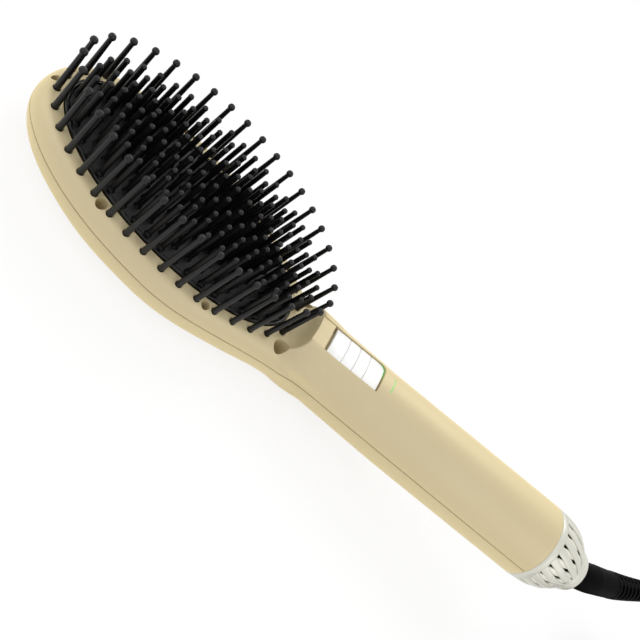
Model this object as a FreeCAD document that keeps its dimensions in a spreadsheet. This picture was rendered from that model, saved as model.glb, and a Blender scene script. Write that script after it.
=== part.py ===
import FreeCAD, Part
import math
import os
from FreeCAD import Placement, Rotation, Vector

# Steam hair straightener brush: a paddle head with a heated bristle field, a
# round handle with a row of four push keys, a woven lattice cap at the tail
# and a mains cord. Millimetres. +X runs from the head to the tail, +Z is the
# side of the bristles, and the brush rests on the flat back of its head.

doc = FreeCAD.newDocument("SteamBrush")

# ---------------------------------------------------------------- sizes
SIZES = {
    # head: the rim plane carries the bristles, the seam is its widest line
    "rim_height": 24.0,
    "seam_drop": 8.0,
    "field_half_length": 60.0,
    "field_half_width": 30.5,
    "shoulder_inset": 4.8,
    "back_inset": 20.0,
    "shell_wall": 2.2,
    "seam_gap": 0.3,
    "fit_gap": 0.3,
    # handle: round, pitched up from the rim plane
    "handle_pitch": 11.5,
    "axis_drop": 22.0,
    "neck_station": 84.0,
    "neck_half_width": 15.6,
    "grip_half_width": 17.7,
    "grip_top": 18.7,
    "crest_rise": 2.3,
    "grip_bottom": 19.4,
    "neck_bottom": 17.2,
    "shell_end": 206.6,
    "cap_end": 233.1,
    # scoop between the bristles and the keys
    "scoop_start": 59.5,
    "scoop_radius": 5.0,
    "scoop_slope": 65.0,
    # bristles
    "rim_pin_count": 36,
    "rim_pin_radius": 1.55,
    "rim_ball_radius": 1.8,
    "rim_tip_height": 24.0,
    "tip_height_drop": 4.0,
    "core_pin_radius": 1.25,
    "core_ball_radius": 1.45,
    "core_pin_pitch": 6.3,
    "core_ring_step": 7.2,
    "core_first_inset": 6.5,
    "core_rings": 4,
    "opening_inset": 3.3,
    "frame_width": 1.4,
    "frame_rise": 0.9,
    "plate_rise": 0.4,
    "bristle_plate_thickness": 1.4,
    "heater_plate_thickness": 3.2,
    "comb_ring_width": 3.2,
    "comb_ring_thickness": 1.6,
    # wells in the rim and on the flanks of the neck
    "well_radius": 2.5,
    "well_depth": 1.6,
    # heater stack under the bristles
    "heater_length": 74.0,
    "heater_width": 22.0,
    "heater_thickness": 3.5,
    "clamp_sheet": 1.2,
    "pad_thickness": 2.0,
    "chamber_length": 50.0,
    "chamber_width": 26.0,
    "chamber_depth": 7.0,
    # keys
    "key_count": 4,
    "key_row_start": 79.0,
    "key_pitch": 6.3,
    "key_width": 13.8,
    "key_gap": 0.35,
    "key_edge_height": 16.0,
    "key_crown": 1.2,
    "key_stem_radius": 1.4,
    "key_travel": 0.8,
    "track_floor": 14.2,
    "crest_floor": 16.7,
    "tray_thickness": 1.9,
    "slit_station": 110.0,
    "slit_length": 8.0,
    "slit_width": 0.9,
    # electronics and water side in the handle
    "board_height": 7.6,
    "board_thickness": 1.6,
    "board_start": 72.0,
    "board_length": 52.0,
    "board_width": 20.0,
    "switch_side": 6.0,
    "switch_body": 2.0,
    "tank_start": 132.0,
    "tank_length": 40.0,
    "tank_half_width": 9.4,
    "tank_height": 22.0,
    "tank_wall": 1.4,
    "filler_station": 166.0,
    "filler_radius": 3.6,
    "pump_radius": 7.0,
    "pump_length": 12.0,
    "hose_radius": 1.75,
    # tail cap
    "cap_ring_length": 3.0,
    "end_ring_radius": 9.45,
    "end_ring_length": 1.9,
    "lattice_ribs": 18,
    "lattice_twist": 24.0,
    "lattice_phase": 0.18,
    "rib_half_angle": 7.3,
    "rib_thickness": 1.5,
    "lattice_gap": 0.4,
    # strain relief, cord and plug
    "sleeve_radius": 6.4,
    "sleeve_end_radius": 4.7,
    "cord_radius": 3.0,
    "coil_mean_radius": 33.0,
    "coil_half_width": 9.0,
    "coil_height": 18.0,
    "plug_length": 36.0,
    "plug_width": 25.0,
    "plug_thickness": 15.0,
    "blade_length": 16.0,
    "blade_width": 6.3,
    "blade_thickness": 1.5,
    "blade_spacing": 12.7,
    # screws
    "screw_radius": 1.25,
    "screw_head_radius": 2.4,
    "screw_head_height": 1.6,
    "boss_radius": 3.0,
}

sheet = doc.addObject("Spreadsheet::Sheet", "Sizes")
for row, (alias, value) in enumerate(SIZES.items(), start=1):
    sheet.set(f"A{row}", alias)
    sheet.set(f"B{row}", str(value))
    sheet.setAlias(f"B{row}", alias)
doc.recompute()


def size(alias):
    return float(sheet.get(alias))


WALL = size("shell_wall")
GAP = size("fit_gap")
PITCH = math.radians(size("handle_pitch"))
FIELD_X = size("field_half_length")
FIELD_Y = size("field_half_width")
HEAD_TIP = FIELD_X + size("shoulder_inset")
HEAD_Y = FIELD_Y + size("shoulder_inset")
SEAM = -size("seam_drop")
BACK = -size("rim_height")
SHELL_END = size("shell_end")
CAP_END = size("cap_end")
RING_R = size("end_ring_radius")

# The origin is the middle of the brush without its cord, at the resting face.
tail_reach = CAP_END * math.cos(PITCH) + RING_R * math.sin(PITCH)
SHIFT = Vector((HEAD_TIP - tail_reach) / 2, 0, size("rim_height"))
HEAD = Placement(SHIFT, Rotation())
HANDLE = HEAD.multiply(Placement(Vector(0, 0, -size("axis_drop")),
                                 Rotation(Vector(0, 1, 0), -size("handle_pitch"))))
HANDLE_IN_HEAD = HEAD.inverse().multiply(HANDLE)

NODES = {}


def keep(label, obj):
    """Name an object of the document as one piece of the brush."""
    obj.Label = label
    NODES[label] = obj
    return obj


def feature(label, shape, frame):
    obj = doc.addObject("Part::Feature", label)
    obj.Shape = shape
    obj.Placement = frame
    return keep(label, obj)


# ------------------------------------------------------------ geometry helpers
def arc_loop(points):
    """Closed outline of arcs, each through three of the points in turn."""
    edges = []
    for i in range(0, len(points), 2):
        after = points[(i + 2) % len(points)]
        edges.append(Part.Arc(points[i], points[i + 1], after).toShape())
    return Part.Wire(edges)


def polygon(points):
    return Part.Wire(Part.makePolygon(points + points[:1]).Edges)


def prism(wire, direction):
    return Part.Face(wire).extrude(direction)


def facet_loft(loops):
    """Solid through polygon loops of one count; a side that isn't flat is halved."""
    faces = [Part.Face(polygon(loops[0])), Part.Face(polygon(loops[-1]))]
    count = len(loops[0])
    for low, high in zip(loops, loops[1:]):
        for i in range(count):
            j = (i + 1) % count
            normal = (low[j] - low[i]).cross(high[i] - low[i]).normalize()
            if abs((high[j] - low[i]).dot(normal)) < 1e-7:
                faces.append(Part.Face(polygon([low[i], low[j], high[j], high[i]])))
            else:
                faces.append(Part.Face(polygon([low[i], low[j], high[j]])))
                faces.append(Part.Face(polygon([low[i], high[j], high[i]])))
    solid = Part.Solid(Part.Shell(faces))
    if solid.Volume < 0:
        solid.reverse()
    return solid


def faceted_ring(centre, direction, radius, sides):
    """Corners of a regular polygon square to a direction, from a level start."""
    level = Vector(0, 0, 1) if abs(direction.z) < 0.9 else Vector(1, 0, 0)
    across = direction.cross(level).normalize()
    up = across.cross(direction).normalize()
    corners = []
    for i in range(sides):
        turn = 2 * math.pi * (i + 0.5) / sides
        corners.append(centre + across * (radius * math.cos(turn)) + up * (radius * math.sin(turn)))
    return corners


def rod(radius, length, start, direction, sides=8):
    """A small faceted rod for screws, posts and holes."""
    loop = faceted_ring(start, direction, radius, sides)
    return prism(polygon(loop), Vector(direction) * length)


UP = Vector(0, 0, 1)
ALONG = Vector(1, 0, 0)


def box_between(low, high):
    return Part.makeBox(high[0] - low[0], high[1] - low[1], high[2] - low[2], Vector(*low))


def egg_half_width(x, half_length, half_width):
    """Half width of the egg outline: fuller towards the head, leaner at the neck."""
    share = x / half_length
    power = 2.15 if share < 0 else 2.0
    lean = 0.07
    return half_width * (1 - abs(share) ** power) ** (1 / power) * (1 - lean * share)


def egg_points(inset, z):
    """Points round the egg outline, drawn in by inset, from beside its head tip."""
    half_length = FIELD_X - inset
    half_width = FIELD_Y - inset
    turns = 16
    loop = []
    for i in range(2 * turns):
        turn = math.pi * (i - 1) / turns
        x = -half_length * math.cos(turn)
        side = 1 if math.sin(turn) >= 0 else -1
        loop.append(Vector(x, side * egg_half_width(x, half_length, half_width), z))
    return loop


def egg_prism(inset, low, high):
    return prism(polygon(egg_points(inset, low)), Vector(0, 0, high - low))


def egg_stations(inset, count, phase=0.0):
    """Evenly spaced points along an egg; the first one is its head end tip."""
    outline = arc_loop(egg_points(inset, 0))
    step = outline.Length / count
    edges = outline.OrderedEdges
    start = edges[0].Length / 2
    places = []
    for i in range(count):
        along = (start + (i + phase) * step) % outline.Length
        for edge in edges:
            if along <= edge.Length:
                break
            along -= edge.Length
        places.append(edge.valueAt(edge.getParameterByLength(along)))
    return places


def shell_half_width(x):
    """Half width of the head shell at its seam: an egg that flares into the neck."""
    neck = size("neck_station")
    flare_start = 5.0
    if x < flare_start:
        share = abs(min(x, 0.0)) / HEAD_TIP
        return HEAD_Y * (1 - share ** 2.15) ** (1 / 2.15)
    blend = 0.5 * (1 + math.cos(math.pi * (x - flare_start) / (neck - flare_start)))
    return size("neck_half_width") + (HEAD_Y - size("neck_half_width")) * blend


def shell_points(inset, z):
    """Points round the head shell, drawn in by inset, with one on each tip."""
    neck = size("neck_station")
    neck_round = 12.0
    half_length = (HEAD_TIP + neck + neck_round) / 2
    middle = half_length - HEAD_TIP
    along = 1 - inset / half_length
    across = 1 - inset / HEAD_Y
    stations = [-HEAD_TIP * math.cos(math.radians(a)) for a in range(0, 90, 12)]
    stations += [neck * share for share in (0.0, 0.18, 0.34, 0.48, 0.62, 0.76, 0.9)]
    half = [Vector(x, shell_half_width(x), z) for x in stations]
    for turn in (0.0, 45.0):
        half.append(Vector(neck + neck_round * math.sin(math.radians(turn)),
                           size("neck_half_width") * math.cos(math.radians(turn)), z))
    tip = half.pop(0)
    end = Vector(neck + neck_round, 0, z)
    loop = [half[0]] + half[1:] + [end] + [Vector(p.x, -p.y, z) for p in reversed(half)] + [tip]
    return [Vector(middle + (p.x - middle) * along, p.y * across, z) for p in loop]


def head_levels(inset, back_turns, front_turns):
    """Inset and height of the outlines that the head is stacked from."""
    depth = size("rim_height") - size("seam_drop") - inset
    rise = size("seam_drop") - inset
    levels = []
    for degrees in back_turns:
        turn = math.radians(degrees)
        levels.append((inset + size("back_inset") * (1 - math.sin(turn)),
                       SEAM - depth * math.cos(turn)))
    for degrees in front_turns:
        turn = math.radians(degrees)
        levels.append((inset + size("shoulder_inset") * (1 - math.sin(turn)),
                       SEAM + rise * math.cos(turn)))
    return levels


def head_solid(inset, back_turns, front_turns):
    """Head between its flat back and the rim plane, as a stack of outlines."""
    return facet_loft([shell_points(draw, z)
                       for draw, z in head_levels(inset, back_turns, front_turns)])


def grip_half_width(station):
    """Half width of the handle along its axis: a slight waist, then a steady flare."""
    neck = size("neck_station")
    if station < neck:
        return size("neck_half_width") - 0.05 * (neck - station)
    share = (station - neck) / (SHELL_END - neck)
    return size("neck_half_width") + (size("grip_half_width") - size("neck_half_width")) * share ** 0.8


def grip_top(station):
    """Height over the axis: the grip rises to a crest behind the scoop."""
    share = max(0.0, 1 - (station - size("scoop_start")) / 32.0)
    return size("grip_top") + size("crest_rise") * share ** 1.5


def grip_bottom(station):
    """Depth under the axis: thin where the handle leaves the head, full after the neck."""
    neck = size("neck_station")
    if station < neck:
        return size("neck_bottom") - 0.07 * (neck - station)
    share = min((station - neck) / 45.0, 1.0)
    return size("neck_bottom") + (size("grip_bottom") - size("neck_bottom")) * share


def oval(station, drop, count=36):
    """Points round the handle's section at a station, sunk by drop from its surface."""
    across = grip_half_width(station) - drop
    points = []
    for i in range(count):
        turn = 2 * math.pi * i / count
        height = grip_top(station) if math.sin(turn) > 0 else grip_bottom(station)
        points.append(Vector(station, across * math.cos(turn), (height - drop) * math.sin(turn)))
    return points


def handle_solid(drop, start, end, count=36):
    """Handle between two stations of its own axis, in the head's frame."""
    neck = size("neck_station")
    stations = [start, (start + neck) / 2, neck, neck + 20, neck + 45, end]
    body = facet_loft([oval(x, drop, count) for x in stations])
    above_back = box_between((0, -60, BACK + drop), (300, 60, 120))
    return in_handle(body).common(above_back)


def scoop_tool(inset):
    """What the scoop behind the bristles takes away, drawn in by inset."""
    start = size("scoop_start") + inset
    radius = size("scoop_radius")
    slope = math.radians(size("scoop_slope"))
    floor = -inset
    turn_end = Vector(start + radius * math.sin(slope), 0,
                      floor + radius * (1 - math.cos(slope)))
    half = slope / 2
    turn_middle = Vector(start + radius * math.sin(half), 0,
                         floor + radius * (1 - math.cos(half)))
    rise = 40.0
    top = Vector(turn_end.x + rise / math.tan(slope), 0, turn_end.z + rise)
    near = Vector(0, 0, floor)
    edges = [
        Part.LineSegment(near, Vector(start, 0, floor)).toShape(),
        Part.Arc(Vector(start, 0, floor), turn_middle, turn_end).toShape(),
        Part.LineSegment(turn_end, top).toShape(),
        Part.LineSegment(top, Vector(0, 0, top.z)).toShape(),
        Part.LineSegment(Vector(0, 0, top.z), near).toShape(),
    ]
    tool = prism(Part.Wire(edges), Vector(0, 120, 0))
    tool.translate(Vector(0, -60, 0))
    return tool


GRIP_START = 40.0


def outer_body():
    head = head_solid(0, (0, 30, 60, 90), (45, 0))
    whole = head.fuse(handle_solid(0, GRIP_START, SHELL_END))
    return whole.cut(scoop_tool(0)).removeSplitter()


def inner_room():
    head = head_solid(WALL, (0, 45, 90), (0,))
    whole = head.fuse(handle_solid(WALL, GRIP_START, SHELL_END + 1, 18))
    return whole.cut(scoop_tool(WALL))


def seam_side(above, gap):
    """Everything above or below the seam, which bends where the handle rises."""
    rise = math.tan(PITCH)
    bend = (SEAM + size("axis_drop")) / rise
    shift = gap / 2 if above else -gap / 2
    reach = 300.0
    far = 150.0 if above else -150.0
    points = [Vector(-reach, 0, SEAM + shift), Vector(bend, 0, SEAM + shift),
              Vector(reach, 0, SEAM + shift + (reach - bend) * rise),
              Vector(reach, 0, far), Vector(-reach, 0, far)]
    side = prism(polygon(points), Vector(0, 120, 0))
    side.translate(Vector(0, -60, 0))
    return side


def in_handle(shape):
    """Move a shape drawn along the handle's axis into the head's frame."""
    moved = shape.copy()
    moved.Placement = HANDLE_IN_HEAD.multiply(moved.Placement)
    return moved


# ---------------------------------------------------------------- bristles
def tip_height(x):
    """Height of the ball ends: highest mid field, lower at the head end."""
    share = x / FIELD_X
    crown = size("rim_tip_height")
    return crown + 2.4 * share - 2.9 * share ** 2 - 1.6 * share ** 3 - 0.7 * share ** 4


def pin(place, low, high, radius, ball, sides):
    """One bristle: a rod that swells into a rounded end, widest at high."""
    tip = 0.85 * ball
    loops = [faceted_ring(Vector(place.x, place.y, z), UP, r, sides)
             for z, r in ((low, radius), (high, ball), (high + tip, ball * 0.5))]
    return facet_loft(loops)


def rim_pin_places():
    return egg_stations(0, int(size("rim_pin_count")))


def core_pin_places():
    """Rings of pins inside the rim, and a zigzag row where a ring would be too thin."""
    places = []
    pitch = size("core_pin_pitch")
    for ring in range(int(size("core_rings"))):
        inset = size("core_first_inset") + ring * size("core_ring_step")
        half_width = FIELD_Y - inset
        if half_width > 0.55 * pitch:
            loop = arc_loop(egg_points(inset, 0)).Length
            count = 2 * round(loop / pitch / 2)
            places += egg_stations(inset, count, 0.5 * (ring % 2))
        else:
            reach = FIELD_X - inset
            steps = int(2 * reach / math.sqrt(pitch ** 2 - 4 * half_width ** 2))
            for i in range(steps + 1):
                side = 1 if i % 2 else -1
                places.append(Vector(reach * (2 * i / steps - 1), side * half_width, 0))
    return places


RING_TOP = -WALL
RIM_PIN_SIDES = 5
OPENING = size("opening_inset")


def make_rim_comb():
    outer = egg_prism(-size("comb_ring_width") / 2, RING_TOP - size("comb_ring_thickness"), RING_TOP)
    inner = egg_prism(size("comb_ring_width") / 2, RING_TOP - 5, RING_TOP + 5)
    comb = outer.cut(inner)
    pins = []
    for place in rim_pin_places():
        pins.append(pin(place, RING_TOP - 1.0, tip_height(place.x), size("rim_pin_radius"),
                        size("rim_ball_radius"), RIM_PIN_SIDES))
    feature("rim_comb", comb.multiFuse(pins), HEAD)


def make_bristle_plate():
    inset = OPENING + size("frame_width") + GAP
    top = size("plate_rise")
    sheet_low = top - size("bristle_plate_thickness")
    plate = egg_prism(inset, sheet_low, top)
    pins = []
    for place in core_pin_places():
        pins.append(pin(place, sheet_low + 0.4, tip_height(place.x) - size("tip_height_drop"),
                        size("core_pin_radius"), size("core_ball_radius"), 4))
    feature("core_bristles", plate.multiFuse(pins), HEAD)


def make_plate_frame():
    low = size("plate_rise") - size("bristle_plate_thickness")
    ring = egg_prism(OPENING + GAP / 2, low, size("frame_rise"))
    hole = egg_prism(OPENING + GAP / 2 + size("frame_width"), low - 1, size("frame_rise") + 1)
    flange = egg_prism(OPENING + GAP / 2, low - 1.0, low)
    flange_hole = egg_prism(OPENING + 4.5, low - 2.0, low + 1)
    feature("plate_frame", ring.cut(hole).fuse(flange.cut(flange_hole)), HEAD)


def make_heater_stack():
    """Hot plate, heating bars, clamp, pad and steam chamber, one on the other."""
    top = size("plate_rise") - size("bristle_plate_thickness") - 1.0
    low = top - size("heater_plate_thickness")
    feature("heater_plate", egg_prism(OPENING + 1.0, low, top), HEAD)
    bar = size("heater_thickness")
    half_length = size("heater_length") / 2
    width = size("heater_width")
    gap_between = 2.0
    for number, side in ((1, -1), (2, 1)):
        bar_width = (width - gap_between) / 2
        y_low = gap_between / 2 if side > 0 else -gap_between / 2 - bar_width
        feature(f"heater_element_{number}",
                box_between((-half_length, y_low, low - bar), (half_length, y_low + bar_width, low)),
                HEAD)
    sheet_low = low - bar - size("clamp_sheet")
    lip = 4.0
    clamp = box_between((-half_length - lip, -width / 2, sheet_low),
                        (half_length + lip, width / 2, low - bar))
    for end in (-1, 1):
        middle = end * (half_length + lip / 2)
        clamp = clamp.cut(rod(1.4, 10, Vector(middle, 0, sheet_low - 5), UP))
    feature("heater_clamp", clamp, HEAD)
    pad_low = sheet_low - size("pad_thickness")
    feature("insulation_pad",
            box_between((-half_length, -width / 2 - 2, pad_low), (half_length, width / 2 + 2, sheet_low)),
            HEAD)
    chamber_low = pad_low - size("chamber_depth")
    chamber_half = size("chamber_length") / 2
    chamber_y = size("chamber_width") / 2
    lid = 1.2
    body = box_between((-chamber_half, -chamber_y, chamber_low), (chamber_half, chamber_y, pad_low - lid))
    room = box_between((-chamber_half + 1.5, -chamber_y + 1.5, chamber_low + 1.5),
                       (chamber_half - 1.5, chamber_y - 1.5, pad_low))
    port_z = (chamber_low + pad_low - lid) / 2
    port = rod(size("hose_radius"), 6, Vector(chamber_half - 3, -6.0, port_z), ALONG)
    feature("steam_chamber", body.cut(room).cut(port), HEAD)
    feature("chamber_lid",
            box_between((-chamber_half, -chamber_y, pad_low - lid), (chamber_half, chamber_y, pad_low)),
            HEAD)
    fuse = rod(2.0, 13, Vector(-chamber_half - 16, -6, pad_low - 2.0), ALONG)
    feature("thermal_fuse", fuse, HEAD)
    feature("temperature_sensor",
            box_between((-chamber_half - 14, 3, pad_low - 2.5), (-chamber_half - 7, 8, pad_low)), HEAD)
    return port_z, chamber_half, chamber_low, low - bar / 2, half_length


# ---------------------------------------------------------------- shells
HANDLE_BOSSES = (128.5, 181.0)
BOARD_POSTS = (75.5, 120.5)
TANK_RIBS = (138.0, 154.0)


TANK_TOP = 8.5


def key_places():
    first = size("key_row_start") + size("key_pitch") / 2
    return [first + i * size("key_pitch") for i in range(int(size("key_count")))]


def key_row_end():
    return size("key_row_start") + size("key_count") * size("key_pitch")


def recess_plan(low, high, grow):
    """Plan of the key recess, rounded at its tail end, between two heights."""
    half = size("key_width") / 2 + grow
    end = key_row_end() + grow
    block = box_between((size("scoop_start"), -half, low), (end, half, high))
    corner_edges = [edge for edge in block.Edges
                    if abs(edge.BoundBox.XMin - end) < 0.01 and edge.BoundBox.ZLength > high - low - 0.01]
    return block.makeFillet(3.0 + grow, corner_edges)


def recess(drop, grow):
    """Key recess as a solid; its floor climbs to the crest behind the scoop."""
    floor = size("track_floor") - drop
    crest = size("crest_floor") - drop
    near = size("scoop_start") - 1
    far = key_row_end() + 20
    profile = polygon([Vector(near, 0, crest), Vector(70, 0, crest), Vector(76.5, 0, floor),
                       Vector(far, 0, floor), Vector(far, 0, 40), Vector(near, 0, 40)])
    bed = prism(profile, Vector(0, 60, 0))
    bed.translate(Vector(0, -30, 0))
    return in_handle(recess_plan(0, 40, grow).common(bed))


def make_front_shell(outer, cavity):
    shell = outer.cut(cavity).common(seam_side(True, size("seam_gap")))
    floor = size("track_floor")
    tray = recess(size("tray_thickness"), GAP + WALL).common(outer)
    shell = shell.fuse(tray).cut(scoop_tool(0))
    shell = shell.cut(recess(0, GAP))
    for station in key_places():
        bore = rod(size("key_stem_radius") + GAP, 12, Vector(station, 0, floor - 8), UP)
        shell = shell.cut(in_handle(bore))
    slit = box_between((size("slit_station") - size("slit_width") / 2, -size("slit_length") / 2, 8),
                       (size("slit_station") + size("slit_width") / 2, size("slit_length") / 2, 30))
    shell = shell.cut(in_handle(slit))
    shell = shell.cut(egg_prism(OPENING, -9, 5))
    shell = shell.cut(egg_prism(-size("comb_ring_width") / 2 - GAP, SEAM, RING_TOP))
    clearance = 0.15
    holes = []
    for place in rim_pin_places():
        low = Vector(place.x, place.y, RING_TOP - 1)
        holes.append(rod(size("rim_pin_radius") + clearance, WALL + 2, low, UP, RIM_PIN_SIDES))
    shell = shell.cut(holes)
    for x, y, radius in well_places():
        shell = shell.cut(rod(radius, 12, Vector(x, y, -size("well_depth")), UP, 8))
    for station in HANDLE_BOSSES:
        post = rod(size("boss_radius"), 17.0, Vector(station, 0, GAP / 2), UP)
        shell = shell.fuse(in_handle(post).common(outer))
        shell = shell.cut(in_handle(rod(size("screw_radius"), 9, Vector(station, 0, 0), UP)))
    board_top = size("board_height") + size("board_thickness")
    for station in BOARD_POSTS:
        post = rod(1.8, 30, Vector(station, 0, board_top), UP)
        post = in_handle(post).common(outer).cut(recess(0.5, GAP))
        shell = shell.fuse(post.Solids[0])
        shell = shell.cut(in_handle(rod(0.8, 3.2, Vector(station, 0, board_top), UP)))
    feature("front_shell", shell, HEAD)


def well_places():
    """Blind wells: between rim bristles, beside the tip and on the neck flanks."""
    between = []
    pins = rim_pin_places()
    for index in (6, 12):
        middle = (pins[index] + pins[index + 1]) * 0.5
        between.append((middle.x, abs(middle.y), size("well_radius")))
    tip = (-FIELD_X - 1.0, 4.4, 1.7)
    flank = (FIELD_X + 0.6, 14.0, size("well_radius"))
    places = []
    for x, y, radius in between + [tip, flank]:
        places += [(x, y, radius), (x, -y, radius)]
    return places


def make_back_shell(outer, cavity, chamber_low):
    shell = outer.cut(cavity).common(seam_side(False, size("seam_gap")))
    inside = BACK + WALL
    for x in (-18.0, 18.0):
        for y in (-8.0, 8.0):
            post = box_between((x - 2, y - 2, inside - 0.5), (x + 2, y + 2, chamber_low))
            shell = shell.fuse(post)
    for station in HANDLE_BOSSES:
        post = rod(size("boss_radius"), 19.0 - GAP / 2, Vector(station, 0, -19.0), UP)
        shell = shell.fuse(in_handle(post).common(outer))
        head = rod(size("screw_head_radius") + GAP, 12, Vector(station, 0, -26.0), UP)
        bore = rod(size("screw_radius") + GAP, 30, Vector(station, 0, -29), UP)
        shell = shell.cut(in_handle(head)).cut(in_handle(bore))
    tank_low = TANK_TOP - size("tank_height")
    for station in TANK_RIBS:
        rib = box_between((station - 1, -size("tank_half_width"), -30),
                          (station + 1, size("tank_half_width"), tank_low))
        shell = shell.fuse(in_handle(rib).common(outer))
    filler = rod(size("filler_radius") + GAP, 12, Vector(size("filler_station"), 0, -25), UP, 16)
    shell = shell.cut(in_handle(filler))
    feature("back_shell", shell, HEAD)


def make_screws():
    screws = []
    for station in HANDLE_BOSSES:
        head_low = -26.0 + 12 - size("screw_head_height")
        head = rod(size("screw_head_radius"), size("screw_head_height"), Vector(station, 0, head_low),
                   UP)
        shank = rod(size("screw_radius") - 0.05, 21, Vector(station, 0, head_low + 0.5), UP)
        screws.append(head.fuse(shank))
    feature("shell_screws", Part.Compound(screws), HANDLE)


# ---------------------------------------------------------------- keys
def key_solid(index):
    """A key cap with a crowned top and a stem, along the handle's axis."""
    station = key_places()[index]
    half = size("key_pitch") / 2 - size("key_gap") / 2
    edge = size("key_edge_height")
    half_width = size("key_width") / 2
    low = size("track_floor") + size("key_travel") + 0.1
    crown = Part.Arc(Vector(station - half, half_width, edge),
                     Vector(station - half, 0, edge + size("key_crown")),
                     Vector(station - half, -half_width, edge)).toShape()
    corners = [Vector(station - half, -half_width, edge), Vector(station - half, -half_width, low),
               Vector(station - half, half_width, low), Vector(station - half, half_width, edge)]
    sides = [Part.LineSegment(a, b).toShape() for a, b in zip(corners, corners[1:])]
    cap = prism(Part.Wire([crown] + sides), Vector(2 * half, 0, 0))
    if index == int(size("key_count")) - 1:
        end = station + half
        corner_edges = [e for e in cap.Edges
                        if abs(e.BoundBox.XMin - end) < 0.01 and e.BoundBox.ZLength > 0.3
                        and e.BoundBox.YLength < 0.01]
        cap = cap.makeFillet(3.0, corner_edges)
    stem_low = switch_top() + size("key_travel") + 0.1
    stem = rod(size("key_stem_radius"), low + 0.5 - stem_low, Vector(station, 0, stem_low), UP)
    return cap.fuse(stem)


def switch_top():
    return size("board_height") + size("board_thickness") + size("switch_body") + 0.9


def make_keys():
    for index in range(int(size("key_count"))):
        feature(f"key_{index + 1}", key_solid(index), HANDLE)


# ---------------------------------------------------------------- handle insides
def make_electronics():
    board_top = size("board_height") + size("board_thickness")
    blank = doc.addObject("Part::Box", "board_blank")
    for side, cell in (("Length", "board_length"), ("Width", "board_width"),
                       ("Height", "board_thickness")):
        blank.setExpression(side, f"Sizes.{cell}")
    blank.Placement = Placement(Vector(size("board_start"), -size("board_width") / 2,
                                       size("board_height")), Rotation())
    doc.recompute()
    board = blank.Shape.copy()
    for station in BOARD_POSTS:
        board = board.cut(rod(0.9, 6, Vector(station, 0, size("board_height") - 2), UP))
    feature("main_board", board, HANDLE)
    switches = []
    side = size("switch_side") / 2 - 0.3
    for station in key_places():
        body = box_between((station - side, -side, board_top),
                           (station + side, side, board_top + size("switch_body")))
        plunger = rod(1.3, 1.4, Vector(station, 0, switch_top() - 1.4), UP)
        switches.append(body.fuse(plunger))
    feature("key_switches", Part.Compound(switches), HANDLE)
    light = size("slit_station")
    guide_low = board_top + 1.5
    stalk = box_between((light - size("slit_width") / 2 + 0.1, -size("slit_length") / 2 + 0.1, guide_low),
                        (light + size("slit_width") / 2 - 0.1, size("slit_length") / 2 - 0.1, 30))
    grip = in_handle(stalk).common(handle_solid(0.15, GRIP_START, SHELL_END))
    feature("light_guide", grip, HEAD)
    feature("status_led", box_between((light - 1.5, -1.5, board_top), (light + 1.5, 1.5, guide_low)),
            HANDLE)
    below = size("board_height")
    start = size("board_start")
    parts = [
        rod(4.5, 11, Vector(start + 14, 0, below - 11), UP, 16),
        box_between((start + 21, -6, below - 8), (start + 33, 6, below)),
        box_between((start + 37, -7, below - 6), (start + 43, 7, below)),
    ]
    feature("board_components", Part.Compound(parts), HANDLE)


def make_board_screws():
    below = size("board_height")
    screws = []
    for station in BOARD_POSTS:
        head = rod(1.6, 1.0, Vector(station, 0, below - 1.0), UP)
        shank = rod(0.75, 4.2, Vector(station, 0, below - 0.5), UP)
        screws.append(head.fuse(shank))
    feature("board_screws", Part.Compound(screws), HANDLE)


PUMP_AXIS = -7.0


def handle_inside():
    """The inside of the handle, along its own axis, with a fitting gap."""
    return facet_loft([oval(x, WALL + 0.05, 18) for x in (size("neck_station") + 45, SHELL_END + 1)])


def make_water_side():
    start = size("tank_start")
    half = size("tank_half_width")
    length = size("tank_length")
    wall = size("tank_wall")
    high = TANK_TOP
    low = high - size("tank_height")
    block = box_between((start, -half, low), (start + length, half, high))
    block = block.makeChamfer(3.0, [e for e in block.Edges if e.BoundBox.XLength > length - 0.1])
    room = box_between((start + wall, -half + wall, low + wall),
                       (start + length - wall, half - wall, high - wall))
    neck_radius = size("filler_radius") - 0.4
    neck = rod(neck_radius + 1.2, 3.2, Vector(size("filler_station"), 0, low - 1.8), UP, 16)
    bore = rod(neck_radius - 0.6, 6, Vector(size("filler_station"), 0, low - 2.5), UP, 16)
    outlet = rod(size("hose_radius"), 4, Vector(start + length - 2, 6.4, -5), ALONG)
    tank = block.fuse(neck).cut(room).cut(bore).cut(outlet)
    feature("water_tank", tank, HANDLE)
    plug_low = -size("grip_bottom") + 0.05
    stem_top = low + 0.5
    head_top = low - 1.8
    head = rod(size("filler_radius"), head_top - plug_low, Vector(size("filler_station"), 0, plug_low),
               UP, 16)
    stem = rod(neck_radius - 0.75, stem_top - head_top + 0.2,
               Vector(size("filler_station"), 0, head_top - 0.2), UP, 16)
    feature("filler_plug", head.fuse(stem), HANDLE)
    pump_start = start + length + 14.5
    pump = rod(size("pump_radius"), size("pump_length"), Vector(pump_start, 0, PUMP_AXIS), ALONG, 24)
    cradle = box_between((pump_start + 2, -5, -size("grip_bottom")),
                         (pump_start + size("pump_length") - 2, 5, PUMP_AXIS))
    cradle = cradle.common(handle_inside()).cut(pump)
    feature("water_pump", pump, HANDLE)
    feature("pump_cradle", cradle, HANDLE)
    return start + length, pump_start


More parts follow.
